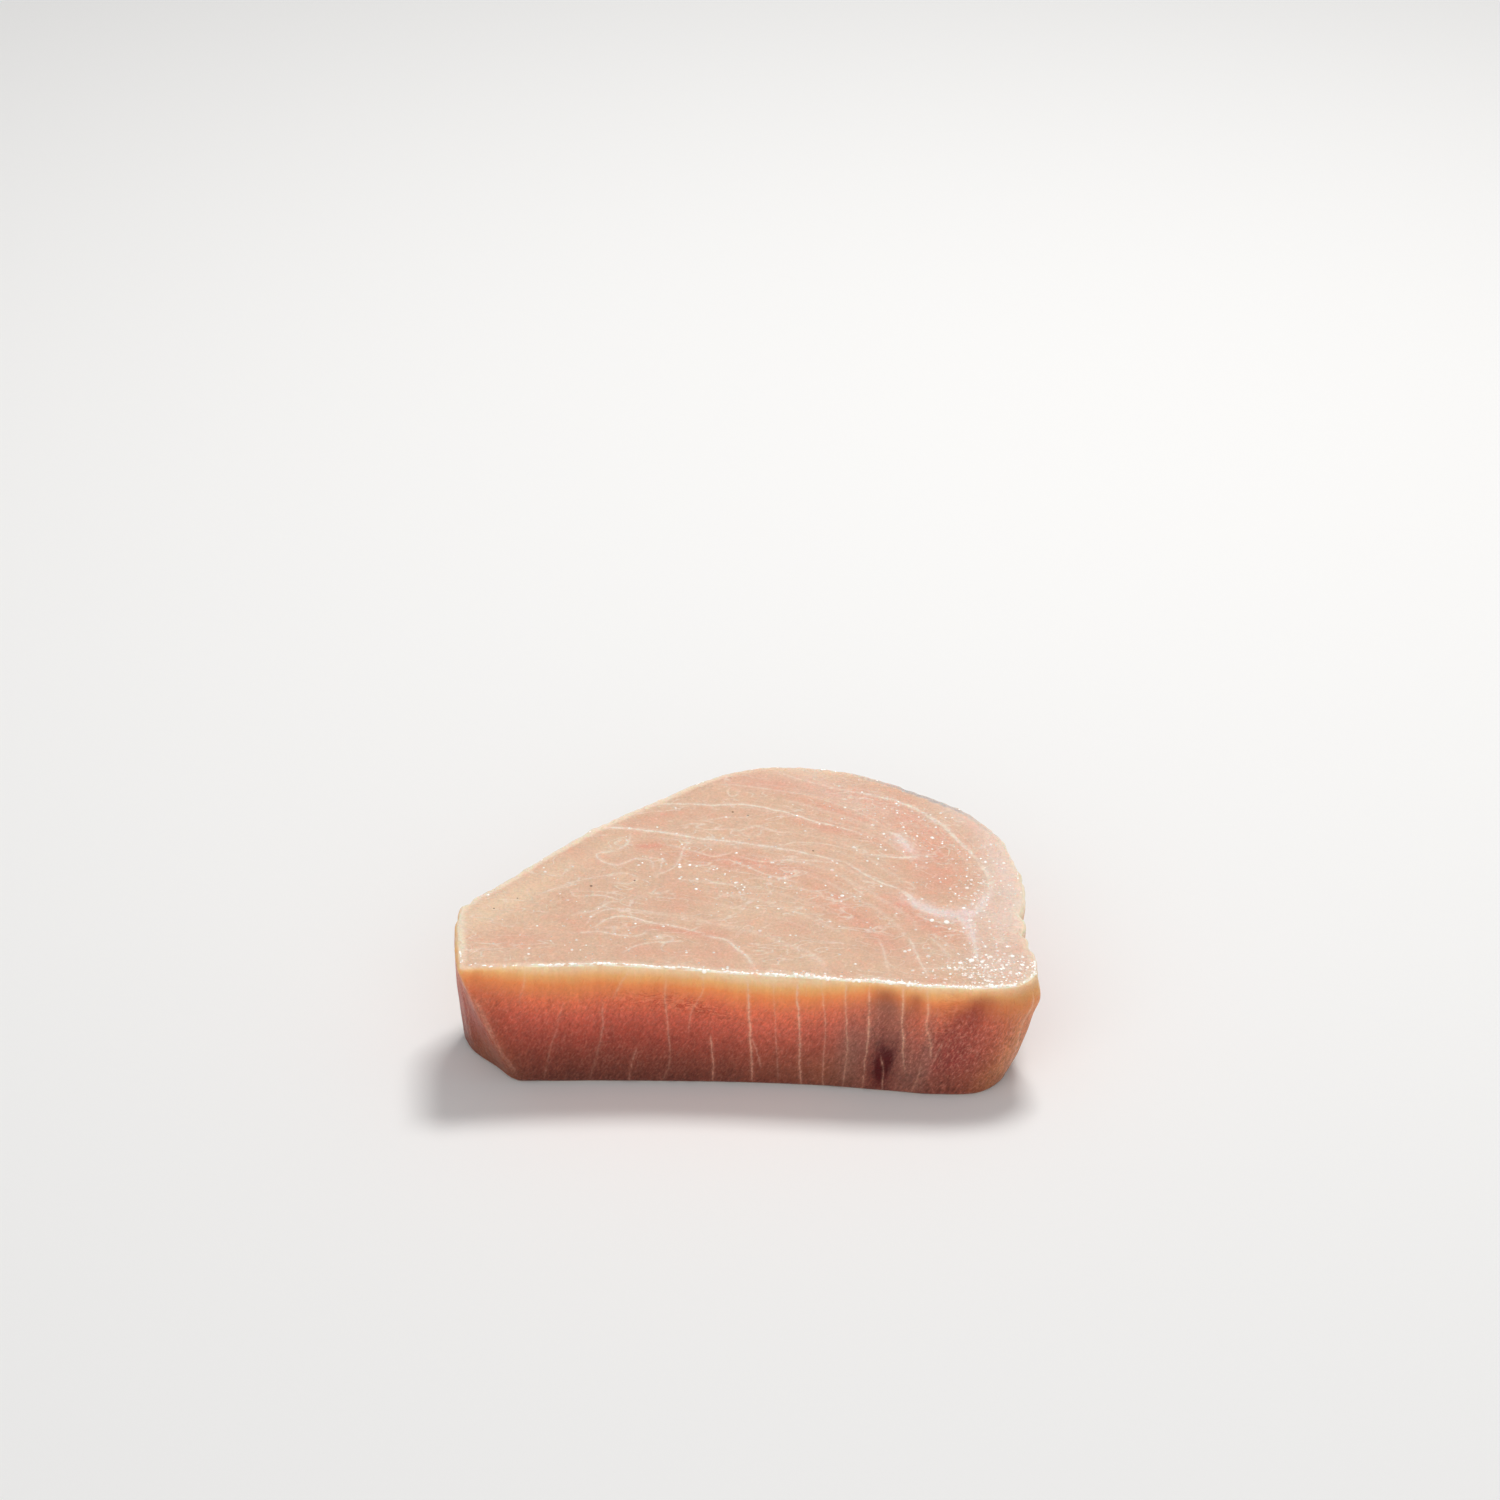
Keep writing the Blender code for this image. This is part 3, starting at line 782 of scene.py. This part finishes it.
class Wire:
    """A shader socket that reads as a number: the operators on it add Math nodes."""

    def __init__(self, paint, socket):
        self.paint = paint
        self.socket = socket

    def maths(self, operation, *others):
        """This number and any others through one Math node."""
        return self.paint.node("ShaderNodeMath", {"operation": operation}, (self, *others))

    __add__ = __radd__ = functools.partialmethod(maths, "ADD")
    __sub__ = functools.partialmethod(maths, "SUBTRACT")
    __mul__ = __rmul__ = functools.partialmethod(maths, "MULTIPLY")
    __truediv__ = functools.partialmethod(maths, "DIVIDE")
    __abs__ = functools.partialmethod(maths, "ABSOLUTE")
    highest = functools.partialmethod(maths, "MAXIMUM")
    lowest = functools.partialmethod(maths, "MINIMUM")

    def __rsub__(self, other):
        return self.paint.node("ShaderNodeMath", {"operation": "SUBTRACT"}, (other, self))

    def rises(self, low, high):
        """0 below `low`, 1 above `high` and a smooth step between. It falls if low is above high."""
        settings = {"interpolation_type": "SMOOTHSTEP"}
        return self.paint.node("ShaderNodeMapRange", settings, (self, low, high))


class Paint:
    """One material with a Principled shader, and the ways to add nodes to it."""

    def __init__(self, name):
        self.material = bpy.data.materials.new(name)
        self.material.use_nodes = True
        self.tree = self.material.node_tree
        self.shader = self.tree.nodes["Principled BSDF"]

    def node(self, kind, settings=None, sockets=(), output=0):
        """Adds a node, sets it up, fills its sockets by place or name, and returns one output."""
        node = self.tree.nodes.new(kind)
        for key, value in (settings or {}).items():
            if key == "stops":
                self.stop_ramp(node.color_ramp, value)
            else:
                setattr(node, key, value)
        for key, value in sockets.items() if isinstance(sockets, dict) else enumerate(sockets):
            self.fill(node.inputs[key], value)
        return Wire(self, node.outputs[output])

    def stop_ramp(self, ramp, stops):
        while len(ramp.elements) < len(stops):
            ramp.elements.new(0.5)
        for element, (position, colour) in zip(ramp.elements, stops):
            element.position = position
            element.color = colour

    def fill(self, socket, value):
        if isinstance(value, Wire):
            self.tree.links.new(value.socket, socket)
        else:
            socket.default_value = value

    def set(self, **values):
        """Sets the shader's own sockets; an underscore in a name stands for a space."""
        for name, value in values.items():
            self.fill(self.shader.inputs[name.replace("_", " ")], value)

    def mix(self, first, second, share):
        """A colour between two."""
        return self.node("ShaderNodeMix", {"data_type": "RGBA"}, {0: share, 6: first, 7: second}, 2)

    def coated(self, base, *coats):
        """A colour with others laid over it in turn, each by its share."""
        for coat, share in coats:
            base = self.mix(base, coat, share)
        return base

    def tinted(self, colour, factor):
        """A colour times another, as a filter over it."""
        settings = {"data_type": "RGBA", "blend_type": "MULTIPLY"}
        return self.node("ShaderNodeMix", settings, {0: 1.0, 6: colour, 7: factor}, 2)

    def grey(self, value):
        return self.node("ShaderNodeCombineColor", None, (value, value, value))

    def parts(self, attribute):
        """The three numbers of a point attribute."""
        vector = self.node("ShaderNodeAttribute", {"attribute_name": attribute}, (), 1)
        return [self.node("ShaderNodeSeparateXYZ", None, (vector,), part) for part in range(3)]

    def millimetres(self, stretch=(1.0, 1.0, 1.0)):
        """Object coordinates in millimetres, times a stretch for each axis."""
        place = self.node("ShaderNodeTexCoord", None, (), 3)
        scale = tuple(part / METRES for part in stretch)
        return self.node("ShaderNodeVectorMath", {"operation": "MULTIPLY"}, (place, scale))

    def noise(self, size, detail=2.0, roughness=0.5, distortion=0.0, place=None):
        """Noise whose features are about `size` millimetres across."""
        sockets = {"Vector": place or self.place, "Scale": 1.0 / size, "Detail": detail}
        sockets |= {"Roughness": roughness, "Distortion": distortion}
        return self.node("ShaderNodeTexNoise", None, sockets)


def colour(red, green, blue):
    """A screen colour, 0 to 255, as the linear colour that a shader takes."""
    parts = np.array([red, green, blue]) / 255.0
    linear = np.where(parts <= 0.04045, parts / 12.92, ((parts + 0.055) / 1.055) ** 2.4)
    return (*(float(part) for part in linear), 1.0)


CUT_BEIGE = colour(226, 187, 160)
CUT_PINK = colour(230, 166, 143)
CUT_CREAM = colour(238, 207, 178)
CUT_ROSY = colour(238, 212, 198)
SEPTUM_WHITE = colour(246, 228, 212)
FORK_LILAC = colour(246, 220, 213)
FAT_CREAM = colour(252, 230, 206)
SILVER_SKIN = colour(172, 174, 180)
SPECK_BROWN = colour(96, 60, 44)
# White painted along the front rim: a painted highlight.
PAINTED_HIGHLIGHT_WHITE = colour(255, 244, 228)
# Down the wall: depth under the rim in millimetres, and the colour there. The ramp is partly the
# flesh's own colour and partly painted light: a painted glow of light through the flesh just under
# the rim, and painted shade that grows darker towards the foot.
WALL_COLOURS_GLOW_AND_SHADE = (
    (0.0, colour(250, 222, 188)),
    (1.0, colour(250, 210, 164)),
    (2.2, colour(248, 190, 126)),
    (4.0, colour(250, 158, 96)),
    (7.5, colour(234, 124, 88)),
    (11.0, colour(214, 106, 82)),
    (15.5, colour(172, 80, 62)),
    (20.0, colour(138, 66, 50)),
    (25.0, colour(108, 54, 40)),
)
WALL_DEPTH = 26.0
FIBRE_SLANT = 0.55
FIBRE_SCALE = (0.62, 0.62, 1.3)
# How far light of each colour spreads in the flesh, in metres.
LIGHT_REACH = (0.0022, 0.0013, 0.0010)
WALL_RED = colour(146, 40, 38)
WALL_GREY = colour(146, 108, 94)
WALL_GOLD = colour(204, 138, 84)
# The crackle: dark red in its cracks, in part painted shade in the grooves, and pale on its ridges, a
# painted highlight.
WALL_CRACK_SHADE = colour(190, 62, 44)
WALL_RIDGE_HIGHLIGHT = colour(248, 158, 120)
WALL_FLECK = colour(224, 148, 124)
BRUISE = colour(80, 0, 5)
VEIL_PINK = colour(206, 132, 108)
VEIL = colour(228, 192, 164)
HIGH_SEPTUM = colour(252, 210, 178)
LOW_SEPTUM = colour(206, 148, 126)


class Flesh(Paint):
    """Raw swordfish: beige-pink cut faces, orange to brown-red walls with painted glow and shade,
    white septa, a painted rim highlight, a wet glaze.
    """

    def __init__(self):
        super().__init__("raw_swordfish_flesh")
        self.place = self.millimetres()
        self.upright = self.millimetres((1.0, 1.0, 0.22))
        slant = {"Vector": self.place, "Rotation": (0.0, FIBRE_SLANT, 0.0), "Scale": FIBRE_SCALE}
        self.slanted = self.node("ShaderNodeMapping", {"vector_type": "TEXTURE"}, slant)
        self.cut, self.below, self.inward = self.parts("zone")
        self.pink, self.cream, self.rosy = self.parts("tints")
        self.fork, self.crackle, self.upper = self.parts("spots")
        self.skin_side, self.fat_band, self.silver = self.parts("sides")
        self.front_rim, self.torn, self.wall = self.parts("edges")
        self.broad = self.noise(12.0, 3.0, 0.55)
        self.mottle = self.noise(2.4, 4.0, 0.62)
        self.fine = self.noise(0.55, 3.0, 0.65)
        self.broken = self.noise(1.5, 3.0, 0.6).rises(0.34, 0.56)
        self.streaks = self.noise(2.2, 3.0, 0.6, place=self.upright)
        self.strokes = self.noise(0.8, 2.0, 0.62, 0.5, self.slanted)
        self.ridges = self.noise(1.7, 3.0, 0.6, 0.6, self.millimetres((0.55, 0.55, 2.0)))
        self.cracks = abs(self.ridges - 0.47).rises(0.05, 0.0) * self.crackle
        self.lines = self.septa()
        self.squiggle = self.squiggles()
        skin = self.mix(self.wall_faces(), self.cut_faces(), self.cut.rises(0.42, 0.95))
        # The base colour carries a painted highlight: a broken white line along the front rim.
        self.set(Base_Color=self.mix(skin, PAINTED_HIGHLIGHT_WHITE, self.painted_rim_highlight() * 0.8))
        self.glaze()
        self.set(Normal=self.relief())

    def septa(self):
        """How much septum shows: sharp lines in a haze, wandering off their curves and broken."""
        wander = (self.noise(4.0, 3.0) - 0.5) * 0.8
        wander = wander + (self.noise(0.9) - 0.5) * 0.34
        sharp, haze = [], []
        for layer in range(SEPTA_LAYERS):
            distance, strength, half_width = self.parts(f"septa_{layer}")
            beside = abs((distance + wander) / (half_width * (0.72 + self.cut * 0.28)))
            sharp.append(beside.rises(1.5, 0.4) * strength)
            haze.append(beside.rises(4.2, 0.6) * strength)
        beaded = self.noise(0.5).rises(0.48, 0.64)
        sharp = functools.reduce(Wire.highest, sharp) * (0.32 + self.broken * 0.45 + beaded * 0.34)
        haze = functools.reduce(Wire.highest, haze) * (0.14 + self.broken * 0.14 + beaded * 0.2)
        return (sharp + haze).lowest(1.0)

    def squiggles(self):
        """Thin pale squiggles on the cut faces: where a twisted noise passes its middle."""
        stretched = self.millimetres((0.5, 1.1, 1.0))
        thin = abs(self.noise(4.0, 1.5, 0.45, 0.8, stretched) - 0.5).rises(0.024, 0.005)
        return thin * self.broad.rises(0.38, 0.54) * (0.18 + self.broken * 0.44)

    def specks(self):
        """The dark specks of the upper face: each falls off with the distance from its centre."""
        flat = self.millimetres((1.0, 1.0, 0.0))
        for x, y, radius in DARK_SPECKS:
            ends = (flat, (x, y, 0.0))
            apart = self.node("ShaderNodeVectorMath", {"operation": "DISTANCE"}, ends, 1)
            yield (apart / radius).rises(1.5, 0.5) * self.upper * 0.9

    def cut_faces(self):
        """The cut faces' colour: beige under cream, rosy and pink patches, then the lines."""
        flush = self.pink * (0.7 + self.mottle * 0.8) + self.broad.rises(0.5, 0.28) * 0.3
        flush = flush + self.mottle.rises(0.52, 0.74) * 0.24
        # Pale flecks: partly fat specks, partly painted glints of wet on the cut face.
        flecks = self.noise(0.6, 2.0, 0.6).rises(0.60, 0.74) * (0.35 + self.pink * 0.3)
        rim_band = (self.inward + (self.mottle - 0.5) * 1.4).rises(1.5, 0.1)
        skin_edge = (self.inward + (self.mottle - 0.5) * 1.2).rises(1.1, 0.1) * self.silver
        face = self.coated(
            CUT_BEIGE,
            (CUT_CREAM, (self.cream + self.broad.rises(0.5, 0.8) * 0.4).lowest(1.0)),
            (CUT_ROSY, self.rosy),
            (CUT_PINK, flush.lowest(1.0)),
            (SEPTUM_WHITE, self.squiggle),
            (FORK_LILAC, self.fork * (0.4 + self.broken * 0.36)),
            (self.mix(SEPTUM_WHITE, FORK_LILAC, self.fork), self.lines),
            (FAT_CREAM, flecks),
            (FAT_CREAM, rim_band * (0.35 + self.fat_band * 0.45)),
            (SILVER_SKIN, skin_edge * 0.7),
            *((SPECK_BROWN, speck) for speck in self.specks()),
        )
        return self.tinted(face, self.grey(0.66 + self.fine * 0.46 + self.mottle * 0.22))

    def wall_faces(self):
        """The wall's colour: a ramp down its depth, with a painted glow under the rim and painted
        shade towards the foot, under patches, the pale veil and the septa.
        """
        below, streaks = self.below, self.streaks
        unsteady = 0.8 + below.rises(0.0, 7.0) * 3.4
        depth = below + (self.noise(6.0, place=self.upright) - 0.5) * unsteady
        ramp = {"stops": [(depth_mm / WALL_DEPTH, shade) for depth_mm, shade in WALL_COLOURS_GLOW_AND_SHADE]}
        golden = self.cream * (0.32 + streaks * 0.8) * (1.0 - below.rises(8.0, 26.0) * 0.4)
        pale_edge_and_highlight = (below + (streaks - 0.5) * 5.0).rises(4.6, 0.2)
        red = self.pink * below.rises(0.4, 3.4) * (0.4 + streaks * 0.7)
        bruise = self.fork * (0.8 + streaks * 0.5)
        bruise = bruise + self.fork.rises(0.05, 0.5) * (streaks - 0.5) * 1.1
        wisp = self.noise(1.8, 4.0, 0.6, place=self.upright)
        veil_edge = below + (self.noise(13.0, 3.0) - 0.5) * 16.0 + (wisp - 0.5) * 9.0
        veil = veil_edge.rises(5.0, 20.0) * self.skin_side
        tangle = self.noise(3.4, 3.0, 0.55, 1.4, self.millimetres((1.0, 1.0, 0.4)))
        strands = abs(tangle - 0.5).rises(0.09, 0.0)
        pale = veil_edge.rises(11.0, 25.0) * (0.5 + wisp * 0.8) + strands * veil * 0.5
        flecks, grit = self.wall_grain()
        face = self.coated(
            # The ramp: the flesh's colour, with a painted glow under the rim and painted shade
            # towards the foot.
            self.node("ShaderNodeValToRGB", ramp, (depth / WALL_DEPTH,)),
            (WALL_GOLD, golden.lowest(0.9)),
            # Cream high on the torn end's wall: partly the flesh's pale edge, partly a painted
            # highlight of its translucent rim.
            (FAT_CREAM, self.torn * pale_edge_and_highlight * 0.7),
            (WALL_RED, red.lowest(0.9)),
            (WALL_GREY, self.rosy * below.rises(2.0, 6.5) * 0.62),
            # Painted shade in the cracks and a painted highlight on the ridges between them.
            (WALL_CRACK_SHADE, self.cracks * 0.6),
            (WALL_RIDGE_HIGHLIGHT, abs(self.ridges - 0.56).rises(0.06, 0.0) * self.crackle * 0.5),
            (BRUISE, bruise.highest(0.0).lowest(0.95)),
            (VEIL_PINK, veil * 0.85),
            (VEIL, (pale * self.skin_side).lowest(0.9)),
            # Septa darker towards the foot, partly following the ramp's painted shade.
            (self.mix(HIGH_SEPTUM, LOW_SEPTUM, below.rises(0.0, 24.0)), self.lines * 0.72),
            (WALL_FLECK, flecks),
        )
        return self.tinted(face, self.grey(0.83 + streaks * 0.34 + grit))

    def wall_grain(self):
        """Pale flecks and grit along the slanting fibres: more to the right, none at the rim."""
        below = self.below
        rightward = self.node("ShaderNodeSeparateXYZ", None, (self.place,), 0).rises(0.0, 46.0)
        flecks = self.noise(0.6, 2.0, 0.6, 0.3, self.slanted).rises(0.44, 0.76)
        flecks = flecks * below.rises(2.5, 8.0) * (0.10 + self.broad * 0.34) * (1.0 - self.fork)
        flecks = flecks * (1.0 + rightward) * (1.0 - below.rises(13.0, 24.0) * 0.4)
        grain = self.noise(0.42, 2.0, 0.7)
        grit = (grain - 0.5) * (0.12 + below.rises(3.0, 11.0) * 0.5)
        grit = grit + (self.strokes - 0.5) * below.rises(2.5, 10.0) * (1.0 + rightward * 0.4)
        return flecks, grit

    def painted_rim_highlight(self):
        """A painted highlight: a broken white line painted along the front rim, half way round its
        rounded edge.
        """
        dashes = self.noise(0.9, place=self.millimetres((0.30, 1.0, 1.0))).rises(0.36, 0.46)
        return self.cut.rises(0.46, 0.58) * self.cut.rises(1.0, 0.93) * self.front_rim * dashes

    def glaze(self):
        """A wet film over flesh that light sinks into, wetter on the cut faces."""
        wet = self.noise(3.2, 3.0, 0.6)
        self.set(Subsurface_Weight=1.0, Subsurface_Scale=1.0, Subsurface_Radius=LIGHT_REACH)
        self.set(Roughness=0.36 + wet * 0.2 + self.fine * 0.1, IOR=1.33, Specular_IOR_Level=0.3)
        self.set(Coat_Weight=(0.25 + wet * 0.9) * (0.3 + self.cut * 0.7))
        self.set(Coat_Roughness=0.09, Coat_IOR=1.4)

    def relief(self):
        """Stipple, film and fibres as a bump: septa stand proud on a cut and sink in the wall."""
        stipple = self.noise(0.7, 3.0, 0.6)
        fibres = self.noise(0.5, place=self.upright)
        film = self.noise(1.9)
        height = stipple * (0.22 + self.cut * 0.15) + film * 0.40
        height = height + (fibres * 0.2 + self.strokes * 0.3) * self.wall - self.cracks * 0.16
        height = height + self.lines * self.cut * 0.12 - self.squiggle * self.cut * 0.2
        height = height - self.lines * self.wall * 0.06
        sockets = {"Strength": 1.0, "Distance": METRES, "Height": height}
        return self.node("ShaderNodeBump", None, sockets)


def moisture():
    """Beads of juice: partly see-through, with a hard bright gloss, a white that is a painted
    highlight and a faint painted glow.
    """
    paint = Paint("moisture_with_painted_highlight")
    cloud = paint.parts("cloud")[0]
    # The white, as opaque as each bead's share, is a painted highlight.
    paint.set(Base_Color=colour(255, 249, 242), Roughness=0.06, IOR=1.45, Alpha=cloud)
    paint.set(Coat_Weight=1.0, Coat_Roughness=0.03, Coat_IOR=1.5)
    # A painted glow: the beads give off a little light, though they are no lamp.
    paint.set(Emission_Color=colour(255, 246, 236), Emission_Strength=0.2)
    return paint.material


# ----------------------------------------
# Beads of moisture.

# A bead's dome: points round it, rings, the angle out to its edge and the share that is sunk.
BEAD_ROUND = 10
BEAD_RINGS = 3
BEAD_ANGLE = math.radians(66.0)
BEAD_SUNK = 0.26
# How many beads lie on the cut face and along the rim in front, and how many long ones on its crest.
BEADS_ON_FACE = 130
BEADS_ON_EDGE = 150
# The long ones on the crest are opaque white: a painted highlight along the rim.
DASHES_ON_EDGE = 175
# Nearer than this y the rim is the split face's.
FRONT_Y = -30.0
# Where beads gather: x, y, half length and half width of the patch, and how many.
BEAD_CLUSTERS = (
    ((47.0, -33.0, 8.5, 4.0), 240),
    ((45.0, -8.0, 10.0, 22.0), 190),
    ((29.0, 20.0, 12.0, 10.0), 80),
    ((-4.0, 1.0, 18.0, 8.0), 52),
    ((18.0, -8.0, 14.0, 7.0), 46),
    ((-36.0, -20.0, 12.0, 9.0), 34),
)
# The largest beads, each at its own place: x, y and radius.
LARGE_BEADS = (
    (42.7, -30, 0.75), (40.3, -31.4, 0.62), (38.2, -32.6, 0.45), (50.7, -28.2, 0.55),
    (51.8, -30.9, 0.5), (53, -31.9, 0.45), (36, -15.9, 0.6), (38.5, -16.7, 0.75),
    (47.6, -33.2, 0.42), (49.6, -31.4, 0.4), (52.2, -28.4, 0.42), (45.4, -31.6, 0.36),
    (50.4, -34.4, 0.4), (-12.9, 1.4, 0.5), (-10.9, 2, 0.42), (-1.4, -4.6, 0.42),
    (-8.9, -7.2, 0.46),
)


def bead_places(surface, places):
    """Draws the beads at random, more of them where wet gathers.

    Of each bead: its grid point, radius, length over width, how much of its painted highlight white
    shows and shift along the face.
    """
    draw = np.random.default_rng(8)
    x, y = places[..., 0].ravel(), places[..., 1].ravel()
    upper, inward = surface.upper.ravel(), surface.inward.ravel()

    def pick(spots, count, weight):
        return draw.choice(spots, count, replace=False, p=weight / weight.sum())

    face = np.flatnonzero((upper > 0.99) & (inward > 0.6))
    area = np.maximum(inward.max() - inward, 2.0)[face]
    damp = 0.2 + np.clip(waves(places, 6.0, 18.0, 31), 0.02, None).ravel()[face]
    small = [pick(face, BEADS_ON_FACE, area * damp * (1.0 + smooth_step(x[face], 10.0, 30.0)))]
    for (middle_x, middle_y, half_x, half_y), count in BEAD_CLUSTERS:
        near = np.exp(-(((x - middle_x) / half_x) ** 2) - ((y - middle_y) / half_y) ** 2)[face]
        small.append(pick(face, count, near * area))
    edge = np.flatnonzero((upper > 0.85) & (inward < 1.1) & (y < FRONT_Y))
    small.append(pick(edge, BEADS_ON_EDGE, smooth_step(x[edge], -30.0, 70.0) + 0.08))
    small = np.concatenate(small)
    # Dashes on the crest of the front rim: opaque white, a painted highlight.
    crest = np.flatnonzero((upper > 0.82) & (upper < 0.97) & (inward < 0.1))
    front = np.where(y[crest] < FRONT_Y, 1.0, 0.05) * np.where(x[crest] < -41.0, 0.1, 1.0)
    dashes = pick(crest, DASHES_ON_EDGE, front)
    large_x, large_y, large_radius = np.array(LARGE_BEADS).T
    gaps = np.hypot(x[face] - large_x[:, None], y[face] - large_y[:, None])
    chosen = np.concatenate([small, face[gaps.argmin(axis=1)], dashes])
    radius = np.clip(np.exp(draw.normal(math.log(0.25), 0.36, len(small))), 0.13, 0.55)
    stretch = draw.uniform(0.85, 1.2, len(small))
    length = np.exp(draw.normal(math.log(2.1), 0.35, len(dashes)))
    radius = np.concatenate([radius, large_radius, draw.uniform(0.24, 0.38, len(dashes))])
    stretch = np.concatenate([stretch, np.full(len(LARGE_BEADS), 1.08), length])
    # How opaque each bead's white is: a painted highlight, full on the large beads and the dashes.
    cloud = draw.uniform(0.35, 1.0, len(chosen))
    cloud[len(small):] = 1.0
    shift = draw.uniform(-0.4, 0.4, (len(chosen), 2))
    shift[-len(dashes):, 1] = 0.0
    return chosen, radius, stretch, cloud, shift


def beads(surface, places, normals):
    """Low domes standing on the surface, each on two vectors across its normal.

    A dome is the cap of a sphere out to an angle b from its top. At an angle a its ring has the
    radius r sin(a) / sin(b) and the height r (cos(a) - cos(b)) / sin(b), less what is sunk in the
    flesh. A stretched dome's length lies along the rim.
    """
    chosen, radius, stretch, cloud, shift = bead_places(surface, places)
    out = normals.reshape(-1, 3)[chosen]
    along_rim = (np.roll(places, -1, axis=1) - places).reshape(-1, 3)[chosen]
    other = np.cross(out, along_rim)
    other /= np.linalg.norm(other, axis=1)[:, None]
    side = np.cross(other, out)
    foot = places.reshape(-1, 3)[chosen] + side * shift[:, 0:1] + other * shift[:, 1:2]
    stretch = np.sqrt(stretch)
    width = radius / stretch
    turn = np.arange(BEAD_ROUND) / BEAD_ROUND * 2.0 * math.pi
    tilt = np.linspace(BEAD_ANGLE, 0.0, BEAD_RINGS + 1)
    wide = np.sin(tilt) / math.sin(BEAD_ANGLE)
    high = (np.cos(tilt) - math.cos(BEAD_ANGLE)) / math.sin(BEAD_ANGLE) - BEAD_SUNK
    ring = wide[None, :-1, None] * radius[:, None, None]
    rise = high[None, :-1, None] * width[:, None, None] + np.zeros(BEAD_ROUND)
    along = ring * np.cos(turn) * stretch[:, None, None]
    across = ring * np.sin(turn) / stretch[:, None, None]
    domes = (
        foot[:, None, None, :]
        + along[..., None] * side[:, None, None, :]
        + across[..., None] * other[:, None, None, :]
        + rise[..., None] * out[:, None, None, :]
    )
    bottoms = foot - out * (width * BEAD_SUNK)[:, None] * 1.2
    tops = foot + out * (width * high[-1])[:, None]
    count, size = len(chosen), BEAD_RINGS * BEAD_ROUND + 2
    spots = np.concatenate([domes.reshape(count, -1, 3), bottoms[:, None], tops[:, None]], axis=1)
    first = (np.arange(count) * size)[:, None, None]
    quads, fans = (
        (one[None] + first).reshape(-1, one.shape[1]) for one in ring_faces(BEAD_RINGS, BEAD_ROUND)
    )
    marks = {"cloud": np.repeat(np.column_stack([cloud] * 3), size, axis=0)}
    return closed_mesh("moisture_beads", spots.reshape(-1, 3), quads, fans, marks)


# ----------------------------------------
# Floor, lights and camera.

FLOOR_SIZE = 6.0
FLOOR_CORNERS = ((-0.5, -0.5), (0.5, -0.5), (0.5, 0.5), (-0.5, 0.5))
FLOOR_LEVEL = -0.0001
FLOOR_GREY = colour(240, 240, 240)
CAMERA_PLACE = (-0.01888, -0.66364, 0.4336)
CAMERA_HEADING = -1.70
CAMERA_PITCH = 29.89
CAMERA_ROLL = 0.80
CAMERA_LENS = 95.65
CAMERA_SENSOR = 36.0
AIM = (0.0, 0.0, 0.012)
# Each lamp: place, size, power and colour.
LAMPS = {
    "key": ((0.16, 0.40, 0.84), (0.28, 0.20), 5.3, (1.0, 0.985, 0.96)),
    "front_fill": ((-0.15, -1.0, 0.55), (1.8, 1.1), 6.2, (1.0, 1.0, 1.0)),
}
SKY_STRENGTH = 0.35


def floor():
    paint = Paint("pale_floor")
    paint.set(Base_Color=FLOOR_GREY, Roughness=0.8, Specular_IOR_Level=0.2)
    corners = [(x * FLOOR_SIZE, y * FLOOR_SIZE, FLOOR_LEVEL) for x, y in FLOOR_CORNERS]
    mesh = bpy.data.meshes.new("floor")
    mesh.from_pydata(corners, [], [(0, 1, 2, 3)])
    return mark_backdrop(add_piece("floor", mesh, paint.material))


def softbox(name, place, size, power, tint):
    """A rectangular lamp at `place` that faces the steak, with its long sides level."""
    lamp = bpy.data.lights.new(name, "AREA")
    lamp.shape = "RECTANGLE"
    lamp.size, lamp.size_y = size
    lamp.energy = power
    lamp.color = tint
    back = Vector(place) - Vector(AIM)
    stand(name, lamp, place, back.to_track_quat("Z", "Y")).visible_camera = False


def stand(name, lens, place, turned):
    """An object for a lamp or a camera, at a place and turned by a rotation."""
    holder = bpy.data.objects.new(name, lens)
    holder.rotation_mode = "QUATERNION"
    holder.location, holder.rotation_quaternion = place, turned
    bpy.context.scene.collection.objects.link(holder)
    return holder


def camera():
    """The camera looks along its heading, tipped down by its pitch and rolled about its own axis."""
    lens = bpy.data.cameras.new("camera")
    lens.lens = CAMERA_LENS
    lens.sensor_width = CAMERA_SENSOR
    lens.sensor_fit = "HORIZONTAL"
    lens.clip_start = 0.01
    heading = Quaternion((0.0, 0.0, 1.0), math.radians(CAMERA_HEADING))
    tip = Quaternion((1.0, 0.0, 0.0), math.radians(90.0 - CAMERA_PITCH))
    roll = Quaternion((0.0, 0.0, 1.0), math.radians(CAMERA_ROLL))
    bpy.context.scene.camera = stand("camera", lens, CAMERA_PLACE, heading @ tip @ roll)


def daylight():
    world = bpy.data.worlds.new("studio")
    world.use_nodes = True
    background = world.node_tree.nodes["Background"]
    background.inputs["Color"].default_value = (1.0, 1.0, 1.0, 1.0)
    background.inputs["Strength"].default_value = SKY_STRENGTH
    bpy.context.scene.world = world


def main():
    surface = Surface()
    marks = marked(surface)
    places = roughened(surface)
    normals = outward(places)
    places = places - surface.middle
    lower_pole = np.append(HUB, 0.0) - surface.middle
    upper_pole = np.append(HUB, places[-1, :, 2].mean()) - surface.middle
    mesh = steak_mesh(places, lower_pole, upper_pole, marks)
    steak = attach(add_piece("steak_surface", mesh, Flesh().material), "root")
    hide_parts("steak")
    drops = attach(add_piece("moisture_beads", beads(surface, places, normals), moisture()), "root")
    floor()
    for name, lamp in LAMPS.items():
        softbox(name, *lamp)
    daylight()
    camera()
    bpy.context.scene.view_settings.view_transform = "Standard"


main()
